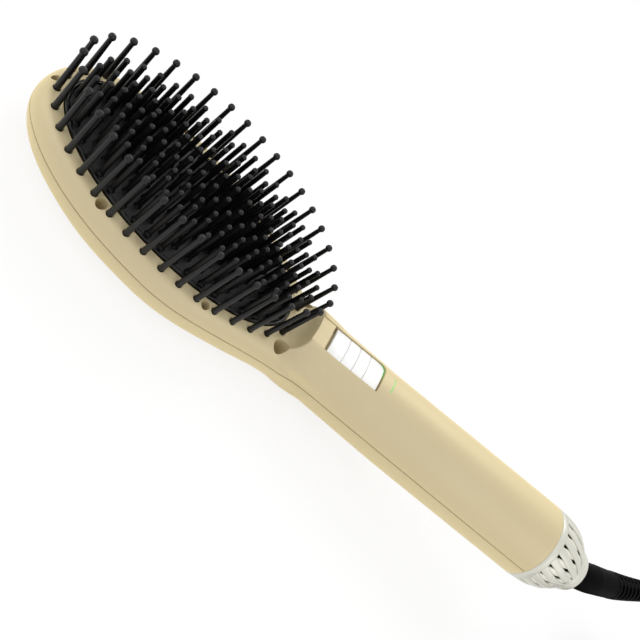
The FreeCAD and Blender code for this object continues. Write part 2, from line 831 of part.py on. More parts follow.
# ---------------------------------------------------------------- bent tubes
def arc_path(points):
    """Straight runs joined by tangent arcs, and the smallest arc radius."""
    edges = []
    at = points[0]
    radii = []
    for before, corner, after in zip(points, points[1:], points[2:]):
        back = (before - corner).normalize()
        ahead = (after - corner).normalize()
        half_turn = (math.pi - back.getAngle(ahead)) / 2
        run = min((before - corner).Length, (after - corner).Length)
        cut = 0.45 * run
        radii.append(cut / math.tan(half_turn))
        start = corner + back * cut
        end = corner + ahead * cut
        bisector = (back + ahead).normalize()
        middle = corner + bisector * (radii[-1] / math.cos(half_turn) - radii[-1])
        edges.append(Part.LineSegment(at, start).toShape())
        edges.append(Part.Arc(start, middle, end).toShape())
        at = end
    edges.append(Part.LineSegment(at, points[-1]).toShape())
    return Part.Wire(edges), radii


def path_stations(path):
    """Points and directions along a path: both ends of each edge, and inside arcs."""
    stations = []
    for edge in path.OrderedEdges:
        shares = (0.0,) if isinstance(edge.Curve, Part.Line) else (0.0, 1 / 3, 2 / 3)
        for share in shares:
            at = edge.FirstParameter + share * (edge.LastParameter - edge.FirstParameter)
            stations.append((edge.valueAt(at), edge.tangentAt(at)))
    stations.append((edge.valueAt(edge.LastParameter), edge.tangentAt(edge.LastParameter)))
    return stations


def tube(points, radius, label, sides=6):
    """Faceted tube: each corner slides along the chord to the next square plane."""
    path, radii = arc_path(points)
    stations = path_stations(path)
    loops = [faceted_ring(stations[0][0], stations[0][1], radius, sides)]
    for (near, _), (far, ahead) in zip(stations, stations[1:]):
        chord = (far - near).normalize()
        loops.append([corner + chord * ((far - corner).dot(ahead) / chord.dot(ahead))
                      for corner in loops[-1]])
    solid = facet_loft(loops)
    ideal = Part.Face(polygon(loops[0])).Area * path.Length
    print(f"{label}: length {path.Length:.0f}, smallest radius {min(radii):.1f}, "
          f"volume ratio {solid.Volume / ideal:.3f}")
    return solid


def from_handle(x, y, z):
    return HANDLE.multVec(Vector(x, y, z))


def from_head(x, y, z):
    return HEAD.multVec(Vector(x, y, z))


def make_hoses(tank_end, pump_start, port_z, chamber_half):
    side = -12.0
    feed = [from_handle(pump_start - 0.1, -5.6, -5.0), from_handle(pump_start - 7, -5.6, -5.0),
            from_handle(pump_start - 13.5, -11.8, -4.0), from_handle(pump_start - 24, side, -2.0),
            from_handle(144, side - 0.1, 0.0),
            from_handle(121, side + 0.6, 0.0), from_handle(99, -10.6, 0.0),
            from_handle(80, -9.6, -1.0), from_head(60, -8.0, port_z - 1.0),
            from_head(43, -6.2, port_z), from_head(chamber_half + 0.1, -6.0, port_z)]
    feature("feed_hose", tube(feed, size("hose_radius"), "feed_hose"), Placement())
    tank_hose = rod(size("hose_radius"), pump_start - tank_end - 0.2, Vector(tank_end + 0.1, 6.4, -5),
                    ALONG, 6)
    feature("tank_hose", tank_hose, HANDLE)


def make_wires(bar_middle, bar_end):
    """Two insulated leads: board to heating bars, and board to the cord clamp."""
    radius = 1.3
    sides = 4
    board_low = size("board_height")
    heater = [from_handle(size("board_start") + 3, 6.0, board_low - 0.1),
              from_handle(size("board_start") + 3, 6.0, board_low - 8),
              from_handle(size("board_start") - 5, 6.0, board_low - 14),
              from_head(50, 6.0, bar_middle), from_head(bar_end + 0.1, 6.0, bar_middle)]
    feature("heater_wires", tube(heater, radius, "heater_wires", sides), Placement())
    over_board = board_low + size("board_thickness") + radius
    mains = [from_handle(117, 6.5, over_board), from_handle(136, 6.2, over_board + 0.6),
             from_handle(160, 6.0, over_board + 0.4), from_handle(180, 5.4, over_board - 1.0),
             from_handle(189, 3.6, 6.6), from_handle(CLAMP_START - 4, 1.4, 2.4),
             from_handle(CLAMP_START - 0.1, 1.4, 2.4)]
    feature("mains_wires", tube(mains, radius, "mains_wires", sides), Placement())


# ---------------------------------------------------------------- tail cap
def cap_share(station):
    return (station - SHELL_END) / (CAP_END - SHELL_END)


def cap_point(station, turn, drop):
    """A point of the cap's domed surface, sunk by drop towards the axis."""
    bulge = 1 - min(max(cap_share(station), 0.0), 1.0) ** 2
    height = size("grip_top") if math.cos(turn) > 0 else size("grip_bottom")
    across = RING_R + (size("grip_half_width") - RING_R) * bulge - drop
    up = RING_R + (height - RING_R) * bulge - drop
    return Vector(station, -across * math.sin(turn), up * math.cos(turn))


def cap_section(station, drop):
    count = 2 * int(size("lattice_ribs"))
    return [cap_point(station, 2 * math.pi * i / count, drop) for i in range(count)]


def cap_band(start, end, drop, thickness):
    """A ring of the domed surface between two stations."""
    outer = facet_loft([cap_section(x, drop) for x in (start, end)])
    inner = facet_loft([cap_section(x, drop + thickness) for x in (start - 1, end + 1)])
    return outer.cut(inner)


def lattice_rib(number, lean, drop, thickness, start, end, steps=3):
    """One slanted rib of the woven cap, as a ribbon of flat-sided lengths."""
    spacing = 360.0 / size("lattice_ribs")
    half = math.radians(size("rib_half_angle"))
    loops = []
    for i in range(steps + 1):
        station = start + (end - start) * i / steps
        twist = lean * size("lattice_twist") * (cap_share(station) - size("lattice_phase"))
        turn = math.radians(11.5 + number * spacing + twist)
        corners = [(turn - half, drop), (turn + half, drop),
                   (turn + half, drop + thickness), (turn - half, drop + thickness)]
        loops.append([cap_point(station, a, d) for a, d in corners])
    return facet_loft(loops)


def make_tail_cap():
    thickness = size("rib_thickness")
    first = SHELL_END + size("cap_ring_length")
    last = CAP_END - size("end_ring_length")
    numbers = range(int(size("lattice_ribs")))
    into_ring = 0.5
    ribs = [lattice_rib(i, 1, 0.05, thickness, first - into_ring, last + into_ring) for i in numbers]
    wide_ring = cap_band(SHELL_END + 0.15, first, 0, 2 * thickness)
    small_ring = cap_band(last, CAP_END, 0, RING_R - size("sleeve_radius") - GAP)
    feature("tail_cap", wide_ring.multiFuse([small_ring] + ribs), HANDLE)
    drop = thickness + size("lattice_gap")
    hoop = cap_band(last - 1.3, last - 0.1, drop - 0.1, 1.4)
    ribs = [lattice_rib(i, -1, drop, thickness - 0.3, first + 0.1, last - 0.6, 2) for i in numbers]
    feature("tail_basket", hoop.multiFuse(ribs), HANDLE)


CLAMP_START = 199.6


def make_tail_insides():
    """Insert that plugs the tail: rim, bulkhead and the tube behind the lattice."""
    bulkhead = 2.0
    start = CLAMP_START + 4.0
    end = SHELL_END
    inset = WALL + GAP
    rim = facet_loft([oval(x, inset, 18) for x in (start, end)])
    room = facet_loft([oval(x, inset + 2, 18) for x in (start + bulkhead, end + 3)])
    core = rod(size("sleeve_radius") + 1.6, CAP_END - 3 - start, Vector(start, 0, 0), ALONG, 16)
    seat = rod(size("sleeve_radius") + 0.2, 60, Vector(SHELL_END + 4, 0, 0), ALONG, 16)
    lead = rod(size("cord_radius") + 0.2, 60, Vector(start - 1, 0, 0), ALONG)
    feature("tail_insert", rim.cut(room).fuse(core).cut(seat).cut(lead), HANDLE)
    clamp = box_between((CLAMP_START, -9, -4.5), (start, 9, 4.5))
    feature("cord_clamp", clamp, HANDLE)
    screws = []
    for side in (-6.5, 6.5):
        screws.append(rod(1.8, 1.2, Vector(CLAMP_START - 1.25, side, 0), ALONG))
    feature("clamp_screws", Part.Compound(screws), HANDLE)


# ---------------------------------------------------------------- cord
def sleeve_line():
    """Centre line of the strain relief: out along the axis, then one bend."""
    start = from_handle(SHELL_END + 4.1, 0, 0)
    turn = from_handle(CAP_END + 4, 0, 0)
    side = math.radians(26.0)
    rise = math.radians(6.0)
    away = Vector(math.cos(side) * math.cos(rise), math.sin(side) * math.cos(rise), math.sin(rise))
    return start, turn, turn + away * 54.0, away


def make_strain_relief():
    start, turn, end, away = sleeve_line()
    ahead = (turn - start).normalize()
    bend = 10.0
    first = turn - ahead * bend
    last = turn + away * bend
    line = [(start, ahead), (first, ahead)]
    for share in (0.25, 0.5, 0.75):
        spot = first * (1 - share) ** 2 + turn * 2 * share * (1 - share) + last * share ** 2
        line.append((spot, (ahead * (1 - share) + away * share).normalize()))
    line += [(last, away), (turn + away * 30.0, away), (end, away)]
    wide = size("sleeve_radius")
    radii = [wide] * 5 + [wide - 0.2, wide - 0.6, size("sleeve_end_radius")]
    loops = [faceted_ring(spot, direction, r, 16) for (spot, direction), r in zip(line, radii)]
    feature("strain_relief", facet_loft(loops), Placement())


COIL_CENTRE = Vector(257, -16, 0)


def cord_route():
    """Out of the sleeve, down in one sweep and level into the coil."""
    _, _, end, away = sleeve_line()
    rest = size("cord_radius") + 0.2
    entry = COIL_CENTRE.x + size("coil_mean_radius") + size("coil_half_width") - size("cord_radius")
    return [end, end + away * 14, Vector(228, 40, 53), Vector(253, 48, 37), Vector(270, 46, 25),
            Vector(281.5, 38.5, 15.5), Vector(290.8, 26, 8), Vector(entry, 10.5, rest),
            Vector(entry, -5, rest)]


def make_cord():
    feature("cord_tube", tube(cord_route(), size("cord_radius"), "cord_tube", 8), Placement())
    mean = size("coil_mean_radius")
    half = size("coil_half_width")
    high = size("coil_height")
    ring = rod(mean + half, high, COIL_CENTRE, UP, 36)
    ring = ring.cut(rod(mean - half, high + 2, COIL_CENTRE - UP, UP, 36))
    entry = cord_route()[-1]
    entry_notch = box_between((entry.x - 5, entry.y, -1), (entry.x + 12, entry.y + 40, 7.5))
    plug_y = COIL_CENTRE.y - mean - half + size("cord_radius")
    plug_notch = box_between((COIL_CENTRE.x - 40, plug_y - 10, -1),
                             (COIL_CENTRE.x - 12, plug_y + 5.3, high + 1))
    feature("cord_coil", ring.cut(entry_notch).cut(plug_notch), Placement())
    make_plug(Vector(COIL_CENTRE.x - 12, plug_y, size("plug_thickness") / 2))


def make_plug(rear):
    """Moulded two-blade plug that points along -X from its nub at rear."""
    nub_length = 24.0
    nub = facet_loft([faceted_ring(rear - ALONG * reach, ALONG, radius, 12)
                      for reach, radius in ((0.05, 3.2), (nub_length + 0.5, 5.0))])
    front = rear.x - nub_length - size("plug_length")
    half_width = size("plug_width") / 2
    half_thick = size("plug_thickness") / 2
    body = box_between((front, rear.y - half_width, rear.z - half_thick),
                       (rear.x - nub_length, rear.y + half_width, rear.z + half_thick))
    corner_edges = [e for e in body.Edges if e.BoundBox.XLength > size("plug_length") - 0.1]
    body = body.makeChamfer(3.0, corner_edges)
    feature("plug_body", body.fuse(nub), Placement())
    blades = []
    for side in (-0.5, 0.5):
        y = rear.y + side * size("blade_spacing")
        blades.append(box_between((front - size("blade_length"), y - size("blade_thickness") / 2,
                                   rear.z - size("blade_width") / 2),
                                  (front, y + size("blade_thickness") / 2,
                                   rear.z + size("blade_width") / 2)))
    feature("plug_blades", Part.Compound(blades), Placement())


# ---------------------------------------------------------------- build
def build():
    outer = outer_body()
    cavity = inner_room()
    port_z, chamber_half, chamber_low, bar_middle, bar_end = make_heater_stack()
    make_front_shell(outer, cavity)
    make_back_shell(outer, cavity, chamber_low)
    make_rim_comb()
    make_bristle_plate()
    make_plate_frame()
    make_keys()
    make_electronics()
    tank_end, pump_start = make_water_side()
    make_hoses(tank_end, pump_start, port_z, chamber_half)
    make_wires(bar_middle, bar_end)
    make_screws()
    make_board_screws()
    make_tail_cap()
    make_tail_insides()
    make_strain_relief()
    make_cord()


build()
doc.recompute()

for obj in doc.Objects:
    if "Invalid" in obj.State or "Error" in obj.State:
        raise RuntimeError(f"{obj.Label} failed to compute")
for label, obj in NODES.items():
    if obj.Shape.isNull() or not obj.Shape.isValid():
        raise RuntimeError(f"{label} has no valid shape")

os.makedirs("parts", exist_ok=True)
for label, obj in NODES.items():
    obj.Shape.exportStep(f"parts/{label}.step")
print(f"{len(NODES)} pieces written")
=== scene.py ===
import math

import bpy
import numpy as np
from mathutils import Matrix, Vector


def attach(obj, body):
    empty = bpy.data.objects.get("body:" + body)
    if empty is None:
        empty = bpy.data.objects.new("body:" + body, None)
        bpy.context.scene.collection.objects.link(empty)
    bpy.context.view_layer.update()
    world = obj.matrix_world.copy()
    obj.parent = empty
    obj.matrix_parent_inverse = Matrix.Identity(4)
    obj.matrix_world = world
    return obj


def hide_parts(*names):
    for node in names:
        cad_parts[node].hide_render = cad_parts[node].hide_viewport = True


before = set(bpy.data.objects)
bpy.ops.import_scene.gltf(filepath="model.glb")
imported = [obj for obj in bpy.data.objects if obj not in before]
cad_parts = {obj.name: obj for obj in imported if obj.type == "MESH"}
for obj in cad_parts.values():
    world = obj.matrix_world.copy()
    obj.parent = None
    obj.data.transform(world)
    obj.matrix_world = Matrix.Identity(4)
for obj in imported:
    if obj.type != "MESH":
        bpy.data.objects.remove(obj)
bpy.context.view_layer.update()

bl_info = {
    "name": "Steam hair straightener brush",
    "version": (1, 0, 0),
    "blender": (4, 5, 0),
    "location": "3D View > Sidebar > Brush",
    "description": "Dresses the steam brush: shells, bristles, keys, woven tail cap and cord",
    "category": "Object",
}

# The brush lies along +X from head to tail with its bristles up. Two local frames are
# used: the head's, with its origin in the rim plane, and the handle's, (station along the
# axis, side, height over the axis), which is pitched up from the head.
MM = 0.001

# Head: the bristle field is an egg, with the shoulder round it down to the seam, and the
# inner pins stand in rings from an inset on, their tips a drop lower than the rim's
HEAD_ORIGIN = np.array([-82.75, 0.0, 24.0]) * MM
FIELD_X = 60.0 * MM
FIELD_Y = 30.5 * MM
SHOULDER = 4.8 * MM
BACK_INSET = 20.0 * MM
HEAD_TIP = FIELD_X + SHOULDER
HEAD_Y = FIELD_Y + SHOULDER
SEAM = -8.0 * MM
BACK = -24.0 * MM
NECK = 84.0 * MM
NECK_ROUND = 12.0 * MM
NECK_HALF = 15.6 * MM
HEAD_HALF_LENGTH = (HEAD_TIP + NECK + NECK_ROUND) / 2
HEAD_MIDDLE = HEAD_HALF_LENGTH - HEAD_TIP
OPENING = 3.3 * MM
RIM_UNDERSIDE = -2.2 * MM
RIM_PIN_COUNT = 36
CORE_RINGS = 5
CORE_INSET = 6.6 * MM
CORE_STEP = 5.0 * MM
CORE_PITCH = 6.3 * MM
CORE_DROP = 3.6 * MM
PLATE_TOP = 0.4 * MM

# Handle, and the scoop at its head end: the squareness is what the section's power has over
# an ellipse's in its upper half, by station, and the bowl is the scoop's radius in plan
PITCH = math.radians(11.5)
AXIS_DROP = 22.0 * MM
GRIP_START = 40.0 * MM
GRIP_HALF = 17.7 * MM
GRIP_TOP = 18.7 * MM
GRIP_BOTTOM = 19.4 * MM
NECK_BOTTOM = 17.2 * MM
KEY_ROW_DROP = 1.2 * MM
SHELL_END = 206.6 * MM
SQUARE_STATIONS = np.array([66.0, 71.0, 84.0, 95.0, 110.0]) * MM
SQUARENESS = (1.5, 1.8, 0.6, 0.25, 0.0)
SCOOP_START = 58.4 * MM
SCOOP_RADIUS = 8.0 * MM
SCOOP_SLOPE = math.radians(73.0)
SCOOP_BOWL = 70.0 * MM
SEAM_BEND = (SEAM + AXIS_DROP) / math.tan(PITCH)
BODY_END = SHELL_END - SEAM_BEND / math.cos(PITCH) + SEAM_BEND
SCREW_STATIONS = (128.5 * MM, 181.0 * MM)
FILLER_STATION = 166.0 * MM

# Keys, and the two lights behind them: heights are over the handle's axis
KEY_START = 79.0 * MM
KEY_PITCH = 6.3 * MM
KEY_ENDS = KEY_START + np.array([0.0, 7.15, 12.6, 18.05, 25.2]) * MM
KEY_HALF = 7.05 * MM
KEY_CORNER = 3.0 * MM
KEY_EDGE = 16.2 * MM
KEY_LOW = 15.1 * MM
TRACK_FLOOR = 14.2 * MM
CREST_FLOOR = 16.7 * MM
RECESS_END = 104.2 * MM
SLIT_STATION = 110.0 * MM
SLIT_HALF_WIDTH = 0.24 * MM
SLIT_HALF_LENGTH = 4.0 * MM

# Tail cap: the waist is a share of its length, and the bulge what is left of the dome there;
# a rib's half angles, in degrees, go with its shares of that length
CAP_END = 233.1 * MM
END_RING = 9.45 * MM
CAP_WAIST = 0.81
WAIST_BULGE = 0.21
RIB_COUNT = 21
RIB_TWIST = math.radians(27.0)
RIB_SHARES = (0.1, 0.27, 0.4, 0.56, 0.7, 0.82)
RIB_HALF_ANGLES = (6.3, 5.5, 6.1, 6.0, 6.9, 9.0)

# Strain relief, measured from its bend, and cord
SLEEVE_LENGTH = 54.0 * MM
SLEEVE_BEND = 10.0 * MM
SLOT_START = 28.0 * MM
SLOT_PITCH = 3.3 * MM
SLOT_ROWS = 7
COIL_X, COIL_Y = 257.0 * MM, -16.0 * MM
COIL_REST = 3.2 * MM

# Stage; a lamp is its name, place, width and power, and it looks at the middle of the floor
FLOOR_HALF = 6.0
FLOOR_GLOW = 0.8
WORLD_LIGHT = 0.68
LAMPS = (("key_lamp", (-0.6, -0.9, 1.3), 1.0, 2.6), ("side_lamp", (0.9, -0.9, 0.6), 1.0, 3.5),
         ("far_lamp", (0.1, 1.0, 1.15), 1.1, 8.5), ("head_lamp", (-1.3, -0.1, 0.6), 1.0, 4.5))


# ---------------------------------------------------------------- settings
def length(name, description, millimetres):
    return bpy.props.FloatProperty(name=name, description=description, default=millimetres * MM,
                                   min=0.0, unit="LENGTH", precision=5)


def linear(red, green, blue):
    """Linear colour of a display colour given from 0 to 255."""
    def one(value):
        value /= 255.0
        return value / 12.92 if value <= 0.04045 else ((value + 0.055) / 1.055) ** 2.4
    return (one(red), one(green), one(blue), 1.0)


def colour(name, description, red, green, blue):
    return bpy.props.FloatVectorProperty(name=name, description=description, size=4, min=0.0,
                                         max=1.0, subtype="COLOR", default=linear(red, green, blue))


class BrushSizes(bpy.types.PropertyGroup):
    wall: length("Shell wall", "Thickness of the two shells", 2.2)
    seam_gap: length("Seam gap", "Gap between the two shells", 0.52)
    edge_round: length("Edge round", "Rounding of the shells beside the seam", 0.05)
    crest_round: length("Crest round", "Rounding of the edge between scoop and grip", 1.3)
    neck_blend: length("Neck blend", "How softly the handle grows out of the head", 9.0)
    well_depth: length("Well depth", "Depth of the blind wells", 6.4)
    rim_pin: length("Rim pin", "Radius of a rim bristle at its foot", 1.24)
    rim_neck: length("Rim pin neck", "Radius of a rim bristle under its ball", 0.86)
    rim_ball: length("Rim ball", "Radius of the ball on a rim bristle", 1.42)
    core_pin: length("Inner pin", "Radius of an inner bristle at its foot", 1.12)
    core_neck: length("Inner pin neck", "Radius of an inner bristle under its end", 1.0)
    core_ball: length("Inner end", "Radius of the rounded end of an inner bristle", 1.16)
    core_collar: length("Inner collar", "Radius of the collar at an inner bristle's foot", 1.7)
    key_gap: length("Key gap", "Gap between two keys", 0.12)
    key_crown: length("Key crown", "Rise of a key's top over its edges", 1.2)
    rib_thickness: length("Rib thickness", "Thickness of a rib of the tail cap", 0.75)
    cord_radius: length("Cord radius", "Radius of the mains cord", 3.0)
    cord_length: length("Cord length", "Whole length of the mains cord", 1700.0)
    coil_radius: length("Coil radius", "Radius of the middle turns of the put-away cord", 33.0)


class BrushColours(bpy.types.PropertyGroup):
    gold: colour("Champagne gold", "Paint of the two shells, seen square on", 199, 185, 150)
    gold_deep: colour("Deep gold", "Darker drift in the paint", 193, 179, 143)
    # Painted sheen: a brighter, yellower tone that the shells take where they are seen at a slant.
    gold_sheen: colour("Gold sheen", "Paint of the two shells, seen at a slant", 232, 212, 156)
    silver: colour("Silver", "Paint of the tail cap", 210, 209, 197)
    silver_deep: colour("Deep silver", "Darker drift in the silver", 200, 199, 187)
    silver_light: colour("Light silver", "Paint of the inner ribs of the cap", 232, 230, 216)
    bristle: colour("Bristle black", "Nylon of the bristles", 16, 16, 17)
    plate: colour("Plate black", "Coated plate under the bristles", 5, 5, 5)
    rubber: colour("Rubber black", "Strain relief, cord and plug", 6, 6, 6)
    key: colour("Key white", "Push keys", 242, 242, 240)
    light: colour("Light green", "Glow behind the keys", 20, 150, 30)
    slit: colour("Pale green", "Lit slit in the handle", 96, 190, 84)
    floor: colour("Floor white", "Floor and backdrop", 255, 255, 255)


def sizes():
    return bpy.context.scene.brush_sizes


def colours():
    return bpy.context.scene.brush_colours


# ---------------------------------------------------------------- small maths
def smoothstep(low, high, value):
    share = np.clip((value - low) / (high - low), 0.0, 1.0)
    return share * share * (3.0 - 2.0 * share)


def smooth_min(a, b, blend):
    near = np.maximum(blend - np.abs(a - b), 0.0) / np.maximum(blend, 1e-9)
    return np.minimum(a, b) - near * near * blend / 4.0


def smooth_max(a, b, blend):
    return -smooth_min(-a, -b, blend)


def from_head(points):
    return np.asarray(points, float) + HEAD_ORIGIN


def from_handle(points):
    """World places of points given as station, side and height over the handle's axis."""
    points = np.asarray(points, float)
    station, side, height = points[..., 0], points[..., 1], points[..., 2]
    return from_head(np.stack([station * math.cos(PITCH) - height * math.sin(PITCH), side,
                               station * math.sin(PITCH) + height * math.cos(PITCH) - AXIS_DROP],
                              -1))


HANDLE_MATRIX = Matrix.Translation(from_handle([0.0, 0.0, 0.0])) @ Matrix.Rotation(-PITCH, 4, "Y")
HANDLE_UP = tuple(HANDLE_MATRIX.col[2][:3])


# ---------------------------------------------------------------- meshes
def mesh_piece(name, points, faces):
    """An object whose place is in its mesh, with its faces turned outwards."""
    points = np.asarray(points, float).reshape(-1, 3)
    mesh = bpy.data.meshes.new(name)
    mesh.from_pydata(points.tolist(), [], faces)
    mesh.update()
    volume = 0.0
    for face in mesh.polygons:
        corners = [mesh.vertices[i].co for i in face.vertices]
        for second, third in zip(corners[1:], corners[2:]):
            volume += corners[0].dot(second.cross(third))
    if volume < 0:
        mesh.flip_normals()
    piece = bpy.data.objects.new(name, mesh)
    bpy.context.scene.collection.objects.link(piece)
    return piece


def loft(name, loops, wrap=False):
    """Solid through loops of one count: capped at both ends, or closed on itself."""
    loops = np.asarray(loops, float)
    rows, count = loops.shape[:2]
    faces = []
    for row in range(rows if wrap else rows - 1):
        after = (row + 1) % rows
        for i in range(count):
            j = (i + 1) % count
            faces.append([row * count + i, row * count + j, after * count + j, after * count + i])
    if not wrap:
        faces.append(list(range(count))[::-1])
        faces.append([(rows - 1) * count + i for i in range(count)])
    return mesh_piece(name, loops, faces)


def tube_loops(spots, directions, radii, sides):
    """Rings of corners square to a path, with no twist between them."""
    loops = []
    across = None
    for spot, direction, radius in zip(spots, directions, radii):
        direction = direction / np.linalg.norm(direction)
        if across is None:
            level = np.array([0.0, 0.0, 1.0]) if abs(direction[2]) < 0.9 else np.array([1.0, 0.0, 0.0])
            across = np.cross(direction, level)
        across = across - direction * across.dot(direction)
        across = across / np.linalg.norm(across)
        up = np.cross(across, direction)
        turn = 2 * math.pi * np.arange(sides) / sides
        loops.append(spot + radius * (np.outer(np.cos(turn), across) + np.outer(np.sin(turn), up)))
    return np.array(loops)


def rod(name, profile, start, direction, sides=24):
    """A turned part: profile is (distance along the direction, radius) pairs."""
    start = np.asarray(start, float)
    direction = np.asarray(direction, float) / np.linalg.norm(direction)
    spots = [start + direction * along for along, _ in profile]
    return loft(name, tube_loops(spots, [direction] * len(profile), [r for _, r in profile], sides))


def peg(name, radius, long, start, direction=(0.0, 0.0, 1.0), sides=20):
    """A plain round pin, upright if no direction is given."""
    return rod(name, [(0.0, radius), (long, radius)], start, direction, sides)


def handle_pegs(name, radius, long, stations, height, sides=20):
    """Round pins that stand square to the handle, from a height over its axis."""
    return joined(name, [peg(name, radius, long, from_handle([station, 0, height]), HANDLE_UP, sides)
                         for station in stations])


def joined(name, pieces):
    """One object from several; each keeps its faces and materials."""
    first = pieces[0]
    with bpy.context.temp_override(active_object=first, object=first, selected_objects=pieces,
                                   selected_editable_objects=pieces):
        bpy.ops.object.join()
    first.name = name
    first.data.name = name
    return first


def settle(piece):
    """Bake a piece's modifiers into a plain mesh and drop them."""
    graph = bpy.context.evaluated_depsgraph_get()
    mesh = bpy.data.meshes.new_from_object(piece.evaluated_get(graph), depsgraph=graph)
    piece.modifiers.clear()
    old = piece.data
    piece.data = mesh
    bpy.data.meshes.remove(old)
    mesh.name = piece.name
    return piece


def cut(piece, tools):
    """Cut tools from a piece one after the other, and delete them."""
    for tool in tools:
        step = piece.modifiers.new("cut", "BOOLEAN")
        step.object = tool
        step.operation = "DIFFERENCE"
        step.solver = "MANIFOLD"
    settle(piece)
    for tool in tools:
        bpy.data.objects.remove(tool)
    if not piece.data.polygons:
        raise RuntimeError(f"nothing is left of {piece.name}")
    return piece


def shade(piece, degrees=40.0):
    piece.data.shade_smooth()
    piece.data.set_sharp_from_angle(angle=math.radians(degrees))
    return piece


def bevel(piece, width, degrees):
    """Round the edges of a piece that turn by more than an angle."""
    step = piece.modifiers.new("edges", "BEVEL")
    step.width = width
    step.segments = 3
    step.limit_method = "ANGLE"
    step.angle_limit = math.radians(degrees)
    return settle(piece)


def dress(piece, material, *nodes, body="brush", slot=None):
    """Give a finished piece its material and its body, and hide the nodes that it stands for."""
    piece.data.materials.clear()
    piece.data.materials.append(material)
    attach(piece, body)
    if nodes:
        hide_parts(*nodes)
    return piece


# ---------------------------------------------------------------- the brush's own shapes
def egg_half_width(x, half_length, half_width):
    share = x / half_length
    power = np.where(share < 0, 2.03, 2.09)
    inside = np.clip(1 - np.abs(share) ** power, 0.0, 1.0)
    return half_width * inside ** (1 / power) * (1 - 0.033 * share)


def egg_loop(inset, height, count=160):
    """Points round the egg outline of the bristle field, in the head's frame."""
    half_length = FIELD_X - inset
    turn = 2 * math.pi * np.arange(count) / count
    x = -half_length * np.cos(turn)
    side = np.where(np.sin(turn) >= 0, 1.0, -1.0)
    y = side * egg_half_width(x, half_length, FIELD_Y - inset)
    return np.stack([x, y, np.full(count, height)], -1)


def egg_stations(inset, count, phase=0.0):
    """Evenly spaced points along an egg; the first one is its head end tip."""
    fine = egg_loop(inset, 0.0, 2000)
    closed = np.vstack([fine, fine[:1]])
    run = np.concatenate([[0.0], np.cumsum(np.linalg.norm(np.diff(closed, axis=0), axis=1))])
    wanted = (np.arange(count) + phase) * run[-1] / count
    return np.stack([np.interp(wanted, run, closed[:, axis]) for axis in range(3)], -1)


def egg_length(inset):
    fine = egg_loop(inset, 0.0, 2000)
    return np.linalg.norm(fine - np.roll(fine, 1, axis=0), axis=1).sum()


def egg_block(name, levels, wrap=False):
    """Solid stacked from egg outlines, levels being (inset, height) pairs."""
    return loft(name, [from_head(egg_loop(inset, height)) for inset, height in levels], wrap)


def egg_ring(name, profile):
    """A closed band that follows the egg, profile being its section."""
    return egg_block(name, profile, wrap=True)


def tip_height(x):
    """Height of the ball ends: highest mid field, lower at the head end."""
    u = x / FIELD_X
    return (24.0 + 2.4 * u - 2.9 * u ** 2 - 1.6 * u ** 3 - 0.7 * u ** 4) * MM


def rim_pin_places():
    return egg_stations(0.0, RIM_PIN_COUNT)


def core_pin_places():
    """Rings of evenly spaced pins inside the rim; every second ring is half a pitch on."""
    places = []
    for ring in range(CORE_RINGS):
        inset = CORE_INSET + CORE_STEP * ring
        count = 2 * round(egg_length(inset) / (2 * CORE_PITCH))
        places.append(egg_stations(inset, count, 0.5 - 0.5 * (ring % 2)))
    return np.vstack(places)


def well_places():
    """Blind wells, as x, y and radius: in the rim, beside its tip and on the neck flanks."""
    pins = rim_pin_places()
    places = []
    for index, radius in ((6, 2.2 * MM), (12, 1.8 * MM)):
        middle = (pins[index] + pins[index + 1]) / 2
        places.append((middle[0], abs(middle[1]), radius))
    places.append((-FIELD_X - 1.0 * MM, 4.4 * MM, 1.5 * MM))
    places.append((FIELD_X + 0.6 * MM, 14.0 * MM, 2.85 * MM))
    return [(x, side * y, radius) for x, y, radius in places for side in (1, -1)]


def well_pegs(name, margin, long, depth, sides):
    """Round pins on the wells' places, from a depth under the rim."""
    return joined(name, [peg(name, radius + margin, long, from_head([x, y, -depth]), sides=sides)
                         for x, y, radius in well_places()])


# ---------------------------------------------------------------- housing
def shell_half_width(x):
    """Half width of the head at its seam: an egg that flares into the neck."""
    share = np.clip(np.abs(np.minimum(x, 0.0)) / HEAD_TIP, 0.0, 1.0)
    egg = HEAD_Y * (1 - share ** 2.15) ** (1 / 2.15)
    flare_start = 5.0 * MM
    blend = 0.5 * (1 + np.cos(math.pi * np.clip((x - flare_start) / (NECK - flare_start), 0, 1)))
    flare = NECK_HALF + (HEAD_Y - NECK_HALF) * blend
    tail = NECK_HALF * np.sqrt(np.clip(1 - ((x - NECK) / NECK_ROUND) ** 2, 0, 1))
    width = np.where(x < flare_start, egg, np.where(x < NECK, flare, tail))
    return np.where((x > -HEAD_TIP) & (x < NECK + NECK_ROUND), width, -1.0)


def inside_head(p):
    x, y, z = p[..., 0], p[..., 1], p[..., 2]
    below = z < SEAM
    share = np.where(below, (SEAM - z) / (SEAM - BACK), (z - SEAM) / -SEAM)
    neck = smoothstep(46 * MM, 76 * MM, x)
    power = np.where(below, 2.0 - 0.55 * neck, 2.0)
    lean = 1 - np.clip(1 - share ** power, 0, 1) ** (1 / power)
    fuller = smoothstep(-40 * MM, -15 * MM, x) * (1 - smoothstep(44 * MM, 92 * MM, x))
    shoulder = SHOULDER + 4.5 * MM * smoothstep(42 * MM, 66 * MM, x)
    inset = np.where(below, BACK_INSET - 4.5 * MM * fuller, shoulder) * lean
    along = 1 - inset / HEAD_HALF_LENGTH
    across = 1 - inset / HEAD_Y
    width = shell_half_width(HEAD_MIDDLE + (x - HEAD_MIDDLE) / along)
    return (share <= 1) & (np.abs(y) / across < width)


def grip_half_width(station):
    share = np.clip((station - NECK) / (SHELL_END - NECK), 0, None)
    before = NECK_HALF - 0.05 * (NECK - station)
    return np.where(station < NECK, before, NECK_HALF + (GRIP_HALF - NECK_HALF) * share ** 0.8)


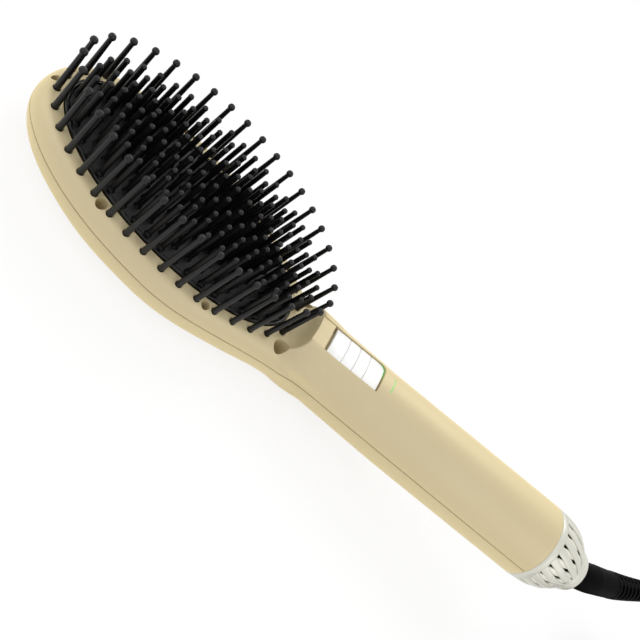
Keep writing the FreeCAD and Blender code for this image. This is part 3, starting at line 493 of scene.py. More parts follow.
def grip_top(station):
    """Height of the handle over its axis: a little lower along the key row."""
    return GRIP_TOP - KEY_ROW_DROP * (1 - smoothstep(78 * MM, 108 * MM, station))


def grip_bottom(station):
    before = NECK_BOTTOM - 0.07 * (NECK - station)
    share = np.clip((station - NECK) / (45.0 * MM), 0, 1)
    share = smoothstep(0, 1, share) * 0.4 + share * 0.6
    return np.where(station < NECK, before, NECK_BOTTOM + (GRIP_BOTTOM - NECK_BOTTOM) * share)


def inside_handle(p):
    x, y, z = p[..., 0], p[..., 1], p[..., 2] + AXIS_DROP
    station = x * math.cos(PITCH) + z * math.sin(PITCH)
    height = z * math.cos(PITCH) - x * math.sin(PITCH)
    tall = np.where(height > 0, grip_top(station), grip_bottom(station))
    squarer = np.interp(station, SQUARE_STATIONS, SQUARENESS)
    power = np.where(height > 0, 2.0 + squarer, 2.0)
    section = (np.abs(y) / grip_half_width(station)) ** power + (np.abs(height) / tall) ** power
    return (section < 1) & (station > GRIP_START)


def scoop_height(x, y):
    """Height of the scoop behind the bristles: a hollow bowl that climbs to the crest."""
    run = x - SCOOP_START + y ** 2 / (2 * SCOOP_BOWL)
    turn_end = SCOOP_RADIUS * math.sin(SCOOP_SLOPE)
    turned = np.clip(run, 0, turn_end)
    hollow = SCOOP_RADIUS - np.sqrt(SCOOP_RADIUS ** 2 - turned ** 2)
    return hollow + np.clip(run - turn_end, 0, None) * math.tan(SCOOP_SLOPE)


def centre_line(along):
    """Centre of each section, in the head's frame: the seam, then the handle's axis."""
    beyond = np.clip(along - SEAM_BEND, 0, None)
    x = np.minimum(along, SEAM_BEND) + beyond * math.cos(PITCH)
    lift = smoothstep(-64 * MM, -50 * MM, along) * (1 - smoothstep(30 * MM, 55 * MM, along))
    return np.stack([x, 0 * x, SEAM + beyond * math.sin(PITCH) + 0.7 * MM * lift], -1)


def section_axes(along):
    tilt = PITCH * smoothstep(35 * MM, 100 * MM, along)
    return np.stack([-np.sin(tilt), 0 * tilt, np.cos(tilt)], -1)


def body_radii(along, turns):
    """Distance from the centre line to the housing's surface, stations by turns."""
    centre = centre_line(along)[:, None, :]
    up = section_axes(along)[:, None, :]
    side = np.array([0.0, 1.0, 0.0])
    ray = np.cos(turns)[None, :, None] * side + np.sin(turns)[None, :, None] * up

    def reach(inside):
        low = np.zeros((len(along), len(turns)))
        high = np.full_like(low, 60 * MM)
        for _ in range(26):
            middle = (low + high) / 2
            holds = inside(centre + middle[..., None] * ray)
            low = np.where(holds, middle, low)
            high = np.where(holds, high, middle)
        return low

    head = reach(inside_head)
    handle = reach(inside_handle)
    scoop = reach(lambda p: p[..., 2] < scoop_height(p[..., 0], p[..., 1]))
    back = reach(lambda p: p[..., 2] > BACK)
    grip = smooth_min(handle, scoop, sizes().crest_round)
    blend = sizes().neck_blend * smoothstep(52 * MM, 76 * MM, along)[:, None]
    blend = blend * (0.12 + 0.88 * smoothstep(0.05, 0.5, np.sin(turns)))[None, :] + 1e-6
    return np.minimum(np.minimum(smooth_max(head, grip, blend), scoop), back)


def body_stations():
    tip = [-HEAD_TIP * math.cos(math.radians(a)) for a in
           [1.1, 1.8, 2.6, 3.6, 4.8, 6.2, 8.0] + list(np.arange(10.0, 90.0, 2.4))]
    field = np.arange(0.0, 55.0, 1.2) * MM
    scoop = np.arange(55.0, 78.0, 0.42) * MM
    neck = np.arange(78.0, 112.0, 1.0) * MM
    grip = np.linspace(112.0 * MM, BODY_END, 36)
    return np.concatenate([tip, field, scoop, neck, grip])


def trimmed(side, height, floor, round_off, count):
    """One half of a section, cut off over the seam with a rounded edge at both ends."""
    edge = floor + round_off
    inside = np.flatnonzero(height >= edge)
    first, last = inside[0], inside[-1]

    def crossing(outer, inner):
        share = (edge - height[outer]) / (height[inner] - height[outer])
        return side[outer] + share * (side[inner] - side[outer])

    left = crossing(last + 1, last)
    right = crossing(first - 1, first)
    side = np.concatenate([[right], side[first:last + 1], [left]])
    height = np.concatenate([[edge], height[first:last + 1], [edge]])
    run = np.concatenate([[0.0], np.cumsum(np.hypot(np.diff(side), np.diff(height)))])
    wanted = np.linspace(0.0, run[-1], count)
    side = np.interp(wanted, run, side)
    height = np.interp(wanted, run, height)
    corner = math.sqrt(0.5) * round_off
    side = np.concatenate([[right - round_off, right - round_off + corner], side,
                           [left + round_off - corner, left + round_off]])
    height = np.concatenate([[floor, edge - corner], height, [edge - corner, floor]])
    return side, height


def half_housing(name, above, count):
    """One solid half of the housing, over or under the seam."""
    along = body_stations()
    turns = np.radians(np.arange(0.0, 180.01, 0.5)) * (1 if above else -1)
    radii = body_radii(along, turns)
    up = section_axes(along)
    centre = centre_line(along)
    sign = 1 if above else -1
    rows = []
    for row, centre_spot, axis in zip(radii, centre, up):
        side, height = trimmed(row * np.cos(turns), sign * row * np.sin(turns),
                               sizes().seam_gap / 2, sizes().edge_round, count)
        rows.append((side, height, centre_spot, axis))
    side, height, centre_spot, axis = rows[-1]
    step = np.array([math.cos(PITCH), 0, math.sin(PITCH)])
    round_off = sizes().edge_round
    rows[-1] = (side, height, centre_spot - step * round_off, axis)
    halfway = 1 - math.sqrt(0.5)
    for back_off, draw in ((halfway, halfway), (0.0, 1.0)):
        shrink = 1 - draw * round_off / GRIP_HALF
        rows.append((side * shrink, np.maximum(height * shrink, height[0]),
                     centre_spot - step * back_off * round_off, axis))
    across = np.array([0.0, 1.0, 0.0])
    loops = [spot + np.outer(side, across) + np.outer(sign * height, axis)
             for side, height, spot, axis in rows]
    return loft(name, from_head(np.array(loops)))


def housing_room():
    """The hollow inside both shells, less what stands in it."""
    along = body_stations()[::4]
    turns = np.radians(np.arange(0.0, 360.0, 7.5))
    radii = body_radii(along, turns)
    wall = sizes().wall
    side = radii * np.cos(turns)
    height = radii * np.sin(turns)
    in_head = along < HEAD_MIDDLE
    widest = np.where(in_head, HEAD_Y, side.max(1))
    highest = np.where(in_head, -SEAM, height.max(1))
    deepest = np.where(in_head, SEAM - BACK, -height.min(1))
    side = side * (1 - wall / widest)[:, None]
    over = height * (1 - wall / highest)[:, None]
    under = height * (1 - wall / deepest)[:, None]
    height = np.where(height > 0, over, under)
    drawn = along + wall * np.clip((HEAD_MIDDLE - along) / HEAD_HALF_LENGTH, 0, 1)
    drawn[-1] += 2 * MM
    centre = centre_line(drawn)
    up = section_axes(along)
    loops = (centre[:, None, :] + side[..., None] * np.array([0.0, 1.0, 0.0])
             + height[..., None] * up[:, None, :])
    room = loft("room", from_head(loops))
    tray = across_strips("tray", 9.4 * MM, 0.0, 60, [(54, 14.8), (76.0, 14.8), (78.2, 12.3),
                                                     (106.9, 12.3)])
    posts = handle_pegs("posts", 3.0 * MM, 38 * MM, SCREW_STATIONS, -19 * MM)
    return cut(room, [tray, well_bosses(), posts])


def well_bosses():
    """Walls and floors of the blind wells, where the housing is hollow."""
    return well_pegs("bosses", 1.3 * MM, 12 * MM, sizes().well_depth + 1.2 * MM, 32)


def corner_pull(y, half, corner):
    """How far the tail edge draws back at y, where the corner at +y is round in plan."""
    over = max(y - (half - corner), 0.0)
    return corner - math.sqrt(max(corner ** 2 - over ** 2, 0.0))


def across_strips(name, half, corner, top, floor):
    """A block over a floor line in the handle's frame, its tail corner at +y round in plan.

    The top and the floor's (station, height) pairs are in millimetres.
    """
    side = np.linspace(-half, half, 29)
    if corner > 0:
        bend = half - corner * (1 - np.sin(np.radians(np.arange(0, 91, 9))))
        side = np.unique(np.round(np.concatenate([bend, np.linspace(-half, half, 9)]), 8))
    loops = []
    for y in side:
        pull = corner_pull(y, half, corner)
        line = [(s * MM - (pull if s == floor[-1][0] else 0.0), y, t * MM) for s, t in floor]
        line += [(line[-1][0], y, top * MM), (line[0][0], y, top * MM)]
        loops.append(line)
    return loft(name, from_handle(np.array(loops)))


def crosswise(name, rows):
    """A solid across the handle; a row is y, then its start, end, floor and top there."""
    return loft(name, from_handle(np.array([
        [(start, y, floor), (end, y, floor), (end, y, top), (start, y, top)]
        for y, start, end, floor, top in rows])))


def front_shell():
    shell = half_housing("front_housing", True, 170)
    room = housing_room()
    recess = across_strips("recess", KEY_HALF + 0.2 * MM, KEY_CORNER + 0.3 * MM, 40.0,
                           [(54.0, CREST_FLOOR / MM), (77.7, CREST_FLOOR / MM),
                            (78.2, TRACK_FLOOR / MM), (RECESS_END / MM + 0.6, TRACK_FLOOR / MM)])
    slit = crosswise("slit", [(y, SLIT_STATION - SLIT_HALF_WIDTH, SLIT_STATION + SLIT_HALF_WIDTH,
                               8 * MM, 30 * MM) for y in (-SLIT_HALF_LENGTH, SLIT_HALF_LENGTH)])
    opening = egg_block("opening", [(OPENING, -9 * MM), (OPENING, -0.3 * MM),
                                    (OPENING - 0.6 * MM, 0.3 * MM), (OPENING - 0.6 * MM, 4 * MM)])
    under_rim = egg_block("under_rim", [(-1.9 * MM, SEAM - 1 * MM), (-1.9 * MM, RIM_UNDERSIDE)])
    cut(under_rim, [well_bosses()])
    hole = sizes().rim_pin + 0.14 * MM
    holes = joined("holes", [rod("hole", [(-1 * MM, hole), (2.0 * MM, hole),
                                          (2.4 * MM, hole + 0.4 * MM), (5 * MM, hole + 0.4 * MM)],
                                 from_head([x, y, RIM_UNDERSIDE]), (0, 0, 1), 20)
                             for x, y, _ in rim_pin_places()])
    wells = well_pegs("wells", 0.0, 14 * MM, sizes().well_depth, 40)
    bores = handle_pegs("bores", 1.7 * MM, 8 * MM, key_stations(), 8 * MM, 16)
    return cut(shell, [room, under_rim, recess, slit, opening, holes, wells, bores])


def back_shell():
    shell = half_housing("back_housing", False, 120)
    heads = handle_pegs("heads", 2.9 * MM, 12 * MM, SCREW_STATIONS, -26 * MM, 28)
    bores = handle_pegs("bores", 1.6 * MM, 30 * MM, SCREW_STATIONS, -29 * MM)
    filler = peg("filler", 3.9 * MM, 12 * MM, from_handle([FILLER_STATION, 0, -25 * MM]), HANDLE_UP,
                 40)
    return cut(shell, [housing_room(), heads, bores, filler])


# ---------------------------------------------------------------- node trees
class Wires:
    """Shorthand for adding and linking the nodes of one tree."""

    def __init__(self, tree):
        self.tree = tree

    def add(self, kind, _settings=None, **inputs):
        """Add a node. An input goes by its name, with _ for a space, or by its number, as i0."""
        node = self.tree.nodes.new(kind)
        for key, value in (_settings or {}).items():
            setattr(node, key, value)
        for key, value in inputs.items():
            numbered = key[0] == "i" and key[1:].isdigit()
            socket = node.inputs[int(key[1:]) if numbered else key.replace("_", " ")]
            if isinstance(value, bpy.types.NodeSocket):
                self.tree.links.new(value, socket)
            else:
                socket.default_value = value
        return node

    def math(self, operation, a, b=None, c=None):
        inputs = {f"i{i}": v for i, v in enumerate((a, b, c)) if v is not None}
        return self.add("ShaderNodeMath", {"operation": operation}, **inputs).outputs[0]

    def mix(self, share, first, second):
        return self.add("ShaderNodeMix", {"data_type": "RGBA"}, i0=share, i6=first,
                        i7=second).outputs[2]


def new_tree(name, kind, inputs, outputs):
    """An empty node group with its sockets, and what its input node gives."""
    tree = bpy.data.node_groups.new(name, kind)
    for socket_name, socket_kind, default in inputs:
        socket = tree.interface.new_socket(socket_name, in_out="INPUT", socket_type=socket_kind)
        if default is not None:
            socket.default_value = default
    for socket_name, socket_kind in outputs:
        tree.interface.new_socket(socket_name, in_out="OUTPUT", socket_type=socket_kind)
    wires = Wires(tree)
    return tree, wires, wires.add("NodeGroupInput").outputs


def blank_tree(owner):
    """Switch a material or a world to nodes, and empty its tree."""
    owner.use_nodes = True
    owner.node_tree.nodes.clear()
    return Wires(owner.node_tree)


def run_tree(piece, tree, **values):
    """Run a geometry tree on a piece, with its inputs given by their names."""
    step = piece.modifiers.new(tree.name, "NODES")
    step.node_group = tree
    for item in tree.interface.items_tree:
        if item.item_type == "SOCKET" and item.in_out == "INPUT":
            key = item.name.replace(" ", "_")
            if key in values:
                step[item.identifier] = values[key]
    return settle(piece)


def pin_field_tree():
    """Geometry tree: a tapered pin with a ball end and a collar on every point."""
    name = "Pin field"
    if name in bpy.data.node_groups:
        return bpy.data.node_groups[name]
    tree, wires, get = new_tree(name, "GeometryNodeTree", [
        ("Places", "NodeSocketGeometry", None), ("Foot radius", "NodeSocketFloat", 0.0016),
        ("Neck radius", "NodeSocketFloat", 0.001), ("Ball radius", "NodeSocketFloat", 0.0018),
        ("Collar radius", "NodeSocketFloat", 0.002), ("Collar height", "NodeSocketFloat", 0.001),
        ("Sides", "NodeSocketInt", 14), ("Finish", "NodeSocketMaterial", None),
    ], [("Pins", "NodeSocketGeometry")])
    height = wires.add("GeometryNodeInputNamedAttribute", {"data_type": "FLOAT"}, Name="pin_height")
    tall = height.outputs["Attribute"]
    stretch = wires.add("ShaderNodeCombineXYZ", X=1.0, Y=1.0, Z=tall).outputs[0]
    shaft = wires.add("GeometryNodeMeshCone", Vertices=get["Sides"], Radius_Top=get["Neck radius"],
                      Radius_Bottom=get["Foot radius"], Depth=1.0)
    shafts = wires.add("GeometryNodeInstanceOnPoints", Points=get["Places"],
                       Instance=shaft.outputs["Mesh"], Scale=stretch)
    lift = wires.add("ShaderNodeCombineXYZ", Z=tall).outputs[0]
    tops = wires.add("GeometryNodeSetPosition", Geometry=get["Places"], Offset=lift)
    ball = wires.add("GeometryNodeMeshUVSphere", Segments=get["Sides"], Rings=7,
                     Radius=get["Ball radius"])
    balls = wires.add("GeometryNodeInstanceOnPoints", Points=tops.outputs[0],
                      Instance=ball.outputs["Mesh"])
    collar = wires.add("GeometryNodeMeshCone", Vertices=get["Sides"], Radius_Top=get["Foot radius"],
                       Radius_Bottom=get["Collar radius"], Depth=get["Collar height"])
    collars = wires.add("GeometryNodeInstanceOnPoints", Points=get["Places"],
                        Instance=collar.outputs["Mesh"])
    both = wires.add("GeometryNodeJoinGeometry")
    for part in (shafts, balls, collars):
        tree.links.new(part.outputs[0], both.inputs["Geometry"])
    real = wires.add("GeometryNodeRealizeInstances", Geometry=both.outputs[0])
    soft = wires.add("GeometryNodeSetShadeSmooth", Geometry=real.outputs[0])
    done = wires.add("GeometryNodeSetMaterial", Geometry=soft.outputs[0], Material=get["Finish"])
    wires.add("NodeGroupOutput", Pins=done.outputs[0])
    return tree


def pin_field(name, places, low, drop, material, **radii):
    """Pins on the given places, from a height of low up to the field's domed top."""
    points = bpy.data.meshes.new(name)
    feet = places + np.array([0, 0, low])
    points.from_pydata(from_head(feet).tolist(), [], [])
    heights = points.attributes.new("pin_height", "FLOAT", "POINT")
    heights.data.foreach_set("value", (tip_height(places[:, 0]) - drop - low).astype(np.float32))
    piece = bpy.data.objects.new(name, points)
    bpy.context.scene.collection.objects.link(piece)
    return run_tree(piece, pin_field_tree(), Finish=material, **radii)


def rib_ring_tree():
    """Geometry tree: one rib repeated round an axis, drawn out to the cap's oval."""
    name = "Rib ring"
    if name in bpy.data.node_groups:
        return bpy.data.node_groups[name]
    tree, wires, get = new_tree(name, "GeometryNodeTree", [
        ("Rib", "NodeSocketGeometry", None), ("Count", "NodeSocketInt", RIB_COUNT),
        ("Start", "NodeSocketFloat", SHELL_END),
        ("Dome length", "NodeSocketFloat", CAP_WAIST * (CAP_END - SHELL_END)),
        ("Dome fall", "NodeSocketFloat", 1 - WAIST_BULGE),
        ("Extra over", "NodeSocketFloat", GRIP_TOP - GRIP_HALF),
        ("Extra under", "NodeSocketFloat", GRIP_BOTTOM - GRIP_HALF),
        ("Finish", "NodeSocketMaterial", None),
    ], [("Ribs", "NodeSocketGeometry")])
    places = wires.add("GeometryNodeMeshLine", {"mode": "OFFSET"}, Count=get["Count"],
                       Offset=(0.0, 0.0, 0.0))
    index = wires.add("GeometryNodeInputIndex").outputs[0]
    turn = wires.math("DIVIDE", wires.math("MULTIPLY", index, 2 * math.pi), get["Count"])
    rotation = wires.add("ShaderNodeCombineXYZ", X=turn).outputs[0]
    spread = wires.add("GeometryNodeInstanceOnPoints", Points=places.outputs[0], Instance=get["Rib"],
                       Rotation=rotation)
    real = wires.add("GeometryNodeRealizeInstances", Geometry=spread.outputs[0])
    spot = wires.add("ShaderNodeSeparateXYZ", Vector=wires.add("GeometryNodeInputPosition").outputs[0])
    x, y, z = spot.outputs
    share = wires.math("DIVIDE", wires.math("SUBTRACT", x, get["Start"]), get["Dome length"])
    cubed = wires.math("POWER", wires.math("MINIMUM", wires.math("MAXIMUM", share, 0.0), 1.0), 3.0)
    bulge = wires.math("SUBTRACT", 1.0, wires.math("MULTIPLY", cubed, get["Dome fall"]))
    reach = wires.math("SQRT", wires.math("ADD", wires.math("MULTIPLY", y, y),
                                          wires.math("MULTIPLY", z, z)))
    over = wires.math("GREATER_THAN", z, 0.0)
    extra = wires.math("ADD", wires.math("MULTIPLY", over, get["Extra over"]),
                       wires.math("MULTIPLY", wires.math("SUBTRACT", 1.0, over), get["Extra under"]))
    rise = wires.math("DIVIDE", wires.math("MULTIPLY", wires.math("MULTIPLY", extra, bulge), z), reach)
    lift = wires.add("ShaderNodeCombineXYZ", Z=rise).outputs[0]
    oval = wires.add("GeometryNodeSetPosition", Geometry=real.outputs[0], Offset=lift)
    soft = wires.add("GeometryNodeSetShadeSmooth", Geometry=oval.outputs[0])
    done = wires.add("GeometryNodeSetMaterial", Geometry=soft.outputs[0], Material=get["Finish"])
    wires.add("NodeGroupOutput", Ribs=done.outputs[0])
    return tree


# ---------------------------------------------------------------- materials
def grain_group():
    """Shader group: fine moulded grain, as a height and a roughness."""
    name = "Moulded grain"
    if name in bpy.data.node_groups:
        return bpy.data.node_groups[name]
    tree, wires, get = new_tree(name, "ShaderNodeTree", [
        ("Scale", "NodeSocketFloat", 2500.0), ("Roughness low", "NodeSocketFloat", 0.3),
        ("Roughness high", "NodeSocketFloat", 0.45), ("Smudge scale", "NodeSocketFloat", 35.0),
    ], [("Height", "NodeSocketFloat"), ("Roughness", "NodeSocketFloat")])
    place = wires.add("ShaderNodeTexCoord").outputs["Object"]
    grain = wires.add("ShaderNodeTexNoise", Vector=place, Scale=get["Scale"], Detail=3.0,
                      Roughness=0.6)
    smudge = wires.add("ShaderNodeTexNoise", Vector=place, Scale=get["Smudge scale"], Detail=4.0,
                       Roughness=0.55)
    span = wires.math("SUBTRACT", get["Roughness high"], get["Roughness low"])
    rough = wires.math("MULTIPLY_ADD", smudge.outputs[0], span, get["Roughness low"])
    wires.add("NodeGroupOutput", Height=grain.outputs[0], Roughness=rough)
    return tree


def drift_group():
    """Shader group: slow colour drift with fine flecks."""
    name = "Colour drift"
    if name in bpy.data.node_groups:
        return bpy.data.node_groups[name]
    tree, wires, get = new_tree(name, "ShaderNodeTree", [
        ("Main", "NodeSocketColor", None), ("Deep", "NodeSocketColor", None),
        ("Drift scale", "NodeSocketFloat", 18.0), ("Fleck scale", "NodeSocketFloat", 5000.0),
        ("Fleck share", "NodeSocketFloat", 0.2),
    ], [("Colour", "NodeSocketColor")])
    place = wires.add("ShaderNodeTexCoord").outputs["Object"]
    drift = wires.add("ShaderNodeTexNoise", Vector=place, Scale=get["Drift scale"], Detail=2.0)
    fleck = wires.add("ShaderNodeTexVoronoi", Vector=place, Scale=get["Fleck scale"])
    tone = wires.add("ShaderNodeSeparateColor", Color=fleck.outputs["Color"]).outputs[0]
    slow = wires.math("SUBTRACT", drift.outputs[0], 0.2)
    flecks = wires.math("MULTIPLY", tone, get["Fleck share"])
    share = wires.add("ShaderNodeMath", {"operation": "ADD", "use_clamp": True},
                      i0=slow, i1=flecks).outputs[0]
    wires.add("NodeGroupOutput", Colour=wires.mix(share, get["Main"], get["Deep"]))
    return tree


def finish(name, main, deep, low, high, grain=2500.0, bump=0.02, flecks=0.2, edge=None, **sockets):
    """A material with drifting colour, fine grain, uneven gloss and, if an edge tone is given, painted
    sheen.

    The gloss wanders between two roughnesses, and the grain's bump is in millimetres.
    """
    if name in bpy.data.materials:
        return bpy.data.materials[name]
    material = bpy.data.materials.new(name)
    wires = blank_tree(material)
    tone = wires.add("ShaderNodeGroup", {"node_tree": drift_group()}, Main=tuple(main),
                     Deep=tuple(deep), Fleck_share=flecks).outputs[0]
    # Painted sheen: the edge tone, brighter and yellower than the main one, is mixed in where the surface
    # is seen at a slant. It stands in for the light that the turning edges catch.
    if edge:
        facing = wires.add("ShaderNodeLayerWeight", Blend=0.5).outputs["Facing"]
        tone = wires.mix(wires.math("POWER", facing, 1.6), tone, tuple(edge))
    grained = wires.add("ShaderNodeGroup", {"node_tree": grain_group()}, Scale=grain,
                        Roughness_low=low, Roughness_high=high).outputs
    relief = wires.add("ShaderNodeBump", Strength=1.0, Distance=bump * MM, Height=grained["Height"])
    shader = wires.add("ShaderNodeBsdfPrincipled", Base_Color=tone, Roughness=grained["Roughness"],
                       Normal=relief.outputs[0], **sockets)
    wires.add("ShaderNodeOutputMaterial", Surface=shader.outputs[0])
    return material


def darker(tone, share):
    return (tone[0] * share, tone[1] * share, tone[2] * share, 1.0)


def gold_paint_with_sheen():
    c = colours()
    return finish("champagne_paint", c.gold, c.gold_deep, 0.42, 0.52, grain=3200.0, bump=0.004,
                  flecks=0.25, edge=c.gold_sheen, Metallic=0.12, Specular_IOR_Level=0.3)


def silver_paint():
    c = colours()
    return finish("silver_paint", c.silver, c.silver_deep, 0.28, 0.4, grain=3000.0, bump=0.004,
                  flecks=0.2, Metallic=0.2, Specular_IOR_Level=0.4)


def basket_paint():
    c = colours()
    return finish("basket_paint", c.silver_light, darker(c.silver_light, 0.96), 0.3, 0.42,
                  bump=0.004, flecks=0.2, Metallic=0.1, Specular_IOR_Level=0.4)


def bristle_nylon():
    c = colours()
    return finish("bristle_nylon", c.bristle, darker(c.bristle, 0.7), 0.34, 0.48, bump=0.006,
                  Specular_IOR_Level=0.3)


def plate_coating():
    c = colours()
    return finish("plate_coating", c.plate, darker(c.plate, 0.7), 0.22, 0.36, bump=0.006,
                  Specular_IOR_Level=0.3)


def soft_rubber():
    c = colours()
    return finish("soft_rubber", c.rubber, darker(c.rubber, 0.75), 0.45, 0.6, grain=1600.0,
                  bump=0.006, Specular_IOR_Level=0.02)


def key_plastic():
    c = colours()
    return finish("key_plastic", c.key, darker(c.key, 0.97), 0.22, 0.3, bump=0.002, flecks=0.0)


# Finishes of the inside pieces: colour, lowest and highest roughness, and metallic
INSIDE_FINISHES = {
    "aluminium": ((168, 170, 172), 0.3, 0.45, 1.0), "steel": ((150, 150, 150), 0.3, 0.4, 1.0),
    "ceramic": ((228, 224, 214), 0.5, 0.7, 0.0), "felt": ((190, 186, 176), 0.9, 1.0, 0.0),
    "brass": ((186, 158, 92), 0.3, 0.45, 1.0), "board": ((24, 92, 52), 0.35, 0.5, 0.0),
    "dark_part": ((34, 35, 38), 0.4, 0.55, 0.0), "red_wire": ((160, 32, 28), 0.4, 0.5, 0.0),
    "hose": ((205, 210, 208), 0.25, 0.35, 0.0), "tank": ((214, 222, 222), 0.15, 0.25, 0.0),
    "switch": ((196, 196, 192), 0.4, 0.5, 0.0),
}
INSIDE_NODES = {
    "aluminium": ("heater_plate",),
    "steel": ("heater_clamp", "board_screws", "clamp_screws", "shell_screws", "water_pump",
              "temperature_sensor", "thermal_fuse"),
    "ceramic": ("heater_element_1", "heater_element_2"), "felt": ("insulation_pad",),
    "brass": ("steam_chamber", "chamber_lid", "plug_blades"), "board": ("main_board",),
    "dark_part": ("board_components", "pump_cradle", "cord_clamp", "tail_insert"),
    "red_wire": ("heater_wires", "mains_wires"), "hose": ("feed_hose", "tank_hose"),
    "tank": ("water_tank",), "switch": ("key_switches", "status_led"),
}


def inside_finish(kind):
    tone, low, high, metallic = INSIDE_FINISHES[kind]
    main = linear(*tone)
    sockets = {"Metallic": metallic}
    if kind in ("hose", "tank"):
        sockets["Transmission_Weight"] = 0.6
    return finish(f"inside_{kind}", main, darker(main, 0.85), low, high, bump=0.01, **sockets)


def glowing(name, tone, strength):
    """Lit plastic: green glow with a slow change along it."""
    if name in bpy.data.materials:
        return bpy.data.materials[name]
    material = bpy.data.materials.new(name)
    wires = blank_tree(material)
    place = wires.add("ShaderNodeTexCoord").outputs["Object"]
    waver = wires.add("ShaderNodeTexNoise", Vector=place, Scale=300.0).outputs[0]
    mixed = wires.mix(waver, tuple(tone), darker(tone, 0.8))
    shader = wires.add("ShaderNodeBsdfPrincipled", Base_Color=mixed, Roughness=0.3,
                       Emission_Color=mixed, Emission_Strength=strength)
    wires.add("ShaderNodeOutputMaterial", Surface=shader.outputs[0])
    return material


# ---------------------------------------------------------------- cord
def sleeve_line():
    """Start, bend, end and last direction of the strain relief, which bends once."""
    start = from_handle([SHELL_END + 4.1 * MM, 0, 0])
    turn = from_handle([CAP_END + 4 * MM, 0, 0])
    side, rise = math.radians(26.0), math.radians(6.0)
    away = np.array([math.cos(side) * math.cos(rise), math.sin(side) * math.cos(rise),
                     math.sin(rise)])
    return start, turn, turn + away * SLEEVE_LENGTH, away


def cord_route():
    """The cord's points: down in one sweep to the table and into the coil."""
    _, _, end, away = sleeve_line()
    entry = COIL_X + 39.0 * MM
    drop = [(228, 40, 53), (253, 48, 37), (270, 46, 25), (281.5, 38.5, 15.5), (290.8, 26, 8)]
    return [end, end + away * 14 * MM] + [np.array(p) * MM for p in drop] + [
        np.array([entry, 10.5 * MM, COIL_REST]), np.array([entry, -5 * MM, COIL_REST])]


def coil_turns():
    """Eight turns in three layers; each one changes lane a little before the last did.

    A lane is (millimetres out from the middle turn, layer), and turns are in degrees. The
    points stand out by the swell, because the curve runs inside them.
    """
    lanes = [(6, 0), (0, 0), (-6, 0), (-6, 1), (0, 1), (-6, 2), (0, 2), (6, 1)]
    points_per_turn = 14
    first_change, stagger, change = 322.0, 24.0, 44.0
    swell = 1 / 0.9665
    layer_height = 6.02 * MM
    points = []
    turn = 12.0
    while turn < 360.0 * 7 + 78.0:
        lane = np.array(lanes[0], float)
        for index in range(1, len(lanes)):
            centre = (360.0 - stagger) * (index - 1) + first_change
            share = smoothstep(centre - change / 2, centre + change / 2, turn)
            lane += (np.array(lanes[index]) - lanes[index - 1]) * share
        radius = (sizes().coil_radius + lane[0] * MM * 1.01) * swell
        angle = -math.radians(turn)
        points.append(np.array([COIL_X + radius * math.cos(angle), COIL_Y + radius * math.sin(angle),
                                COIL_REST + layer_height * lane[1]]))
        turn += 360.0 / points_per_turn
    return points


def plug_rear():
    return np.array([COIL_X - 12 * MM, COIL_Y - 39 * MM, 7.5 * MM])


def cord_curve():
    rear = plug_rear()
    points = cord_route() + coil_turns()
    points += [rear + np.array([8, 0, 0.5]) * MM, rear]
    curve = bpy.data.curves.new("mains_cord", "CURVE")
    curve.dimensions = "3D"
    spline = curve.splines.new("NURBS")
    spline.points.add(len(points) - 1)
    for knot, spot in zip(spline.points, points):
        knot.co = (*spot, 1.0)
    spline.order_u = 3
    spline.use_endpoint_u = True
    spline.resolution_u = 6
    curve.bevel_depth = sizes().cord_radius
    curve.bevel_resolution = 4
    curve.use_fill_caps = True
    piece = bpy.data.objects.new("mains_cord", curve)
    bpy.context.scene.collection.objects.link(piece)
    return piece


def key_stations():
    """Stations of the keys' stems, which stand at an even pitch."""
    return [KEY_START + KEY_PITCH * (i + 0.5) for i in range(4)]


def cap_bulge(station):
    """How far the cap stands out over its end: a dome down to a waist, then the end ring."""
    share = np.clip((station - SHELL_END) / (CAP_END - SHELL_END), 0, 1)
    dome = 1 - (1 - WAIST_BULGE) * np.minimum(share / CAP_WAIST, 1) ** 3
    beyond = np.clip((share - CAP_WAIST) / (1 - CAP_WAIST), 0, 1)
    return dome - WAIST_BULGE * (0.55 * beyond + 0.45 * beyond ** 2)


def cap_point(station, turn, drop):
    """A point of the cap's domed surface, in the handle's frame."""
    bulge = cap_bulge(station)
    tall = np.where(np.cos(turn) > 0, GRIP_TOP, GRIP_BOTTOM)
    across = END_RING + (GRIP_HALF - END_RING) * bulge - drop
    up = END_RING + (tall - END_RING) * bulge - drop
    return np.stack([station + 0 * turn, -across * np.sin(turn), up * np.cos(turn)], -1)


def cap_band(name, profile, count=120):
    """A ring of the cap, profile being (station, drop) pairs of its section."""
    turn = 2 * math.pi * np.arange(count) / count
    return loft(name, [cap_point(s, turn, d) for s, d in profile], wrap=True)


def one_rib(name, lean, drop, thickness, start, end):
    """A slanted rib on a round dome: wide at its ends, with a crowned face and soft edges."""
    section = [(-1.0, 1.0), (-1.0, 0.42), (-0.94, 0.2), (-0.8, 0.07), (-0.4, 0.0), (0.4, 0.0),
               (0.8, 0.07), (0.94, 0.2), (1.0, 0.42), (1.0, 1.0)]
    loops = []
    for station in np.linspace(start, end, 21):
        share = (station - SHELL_END) / (CAP_END - SHELL_END)
        middle = math.radians(6.5) + lean * RIB_TWIST * (share - 0.47)
        half_angle = math.radians(np.interp(share, RIB_SHARES, RIB_HALF_ANGLES))
        face = END_RING + (GRIP_HALF - END_RING) * cap_bulge(station) - drop
        loops.append([(station, -(face - depth * thickness) * math.sin(middle + side * half_angle),
                       (face - depth * thickness) * math.cos(middle + side * half_angle))
                      for side, depth in section])
    return loft(name, loops)


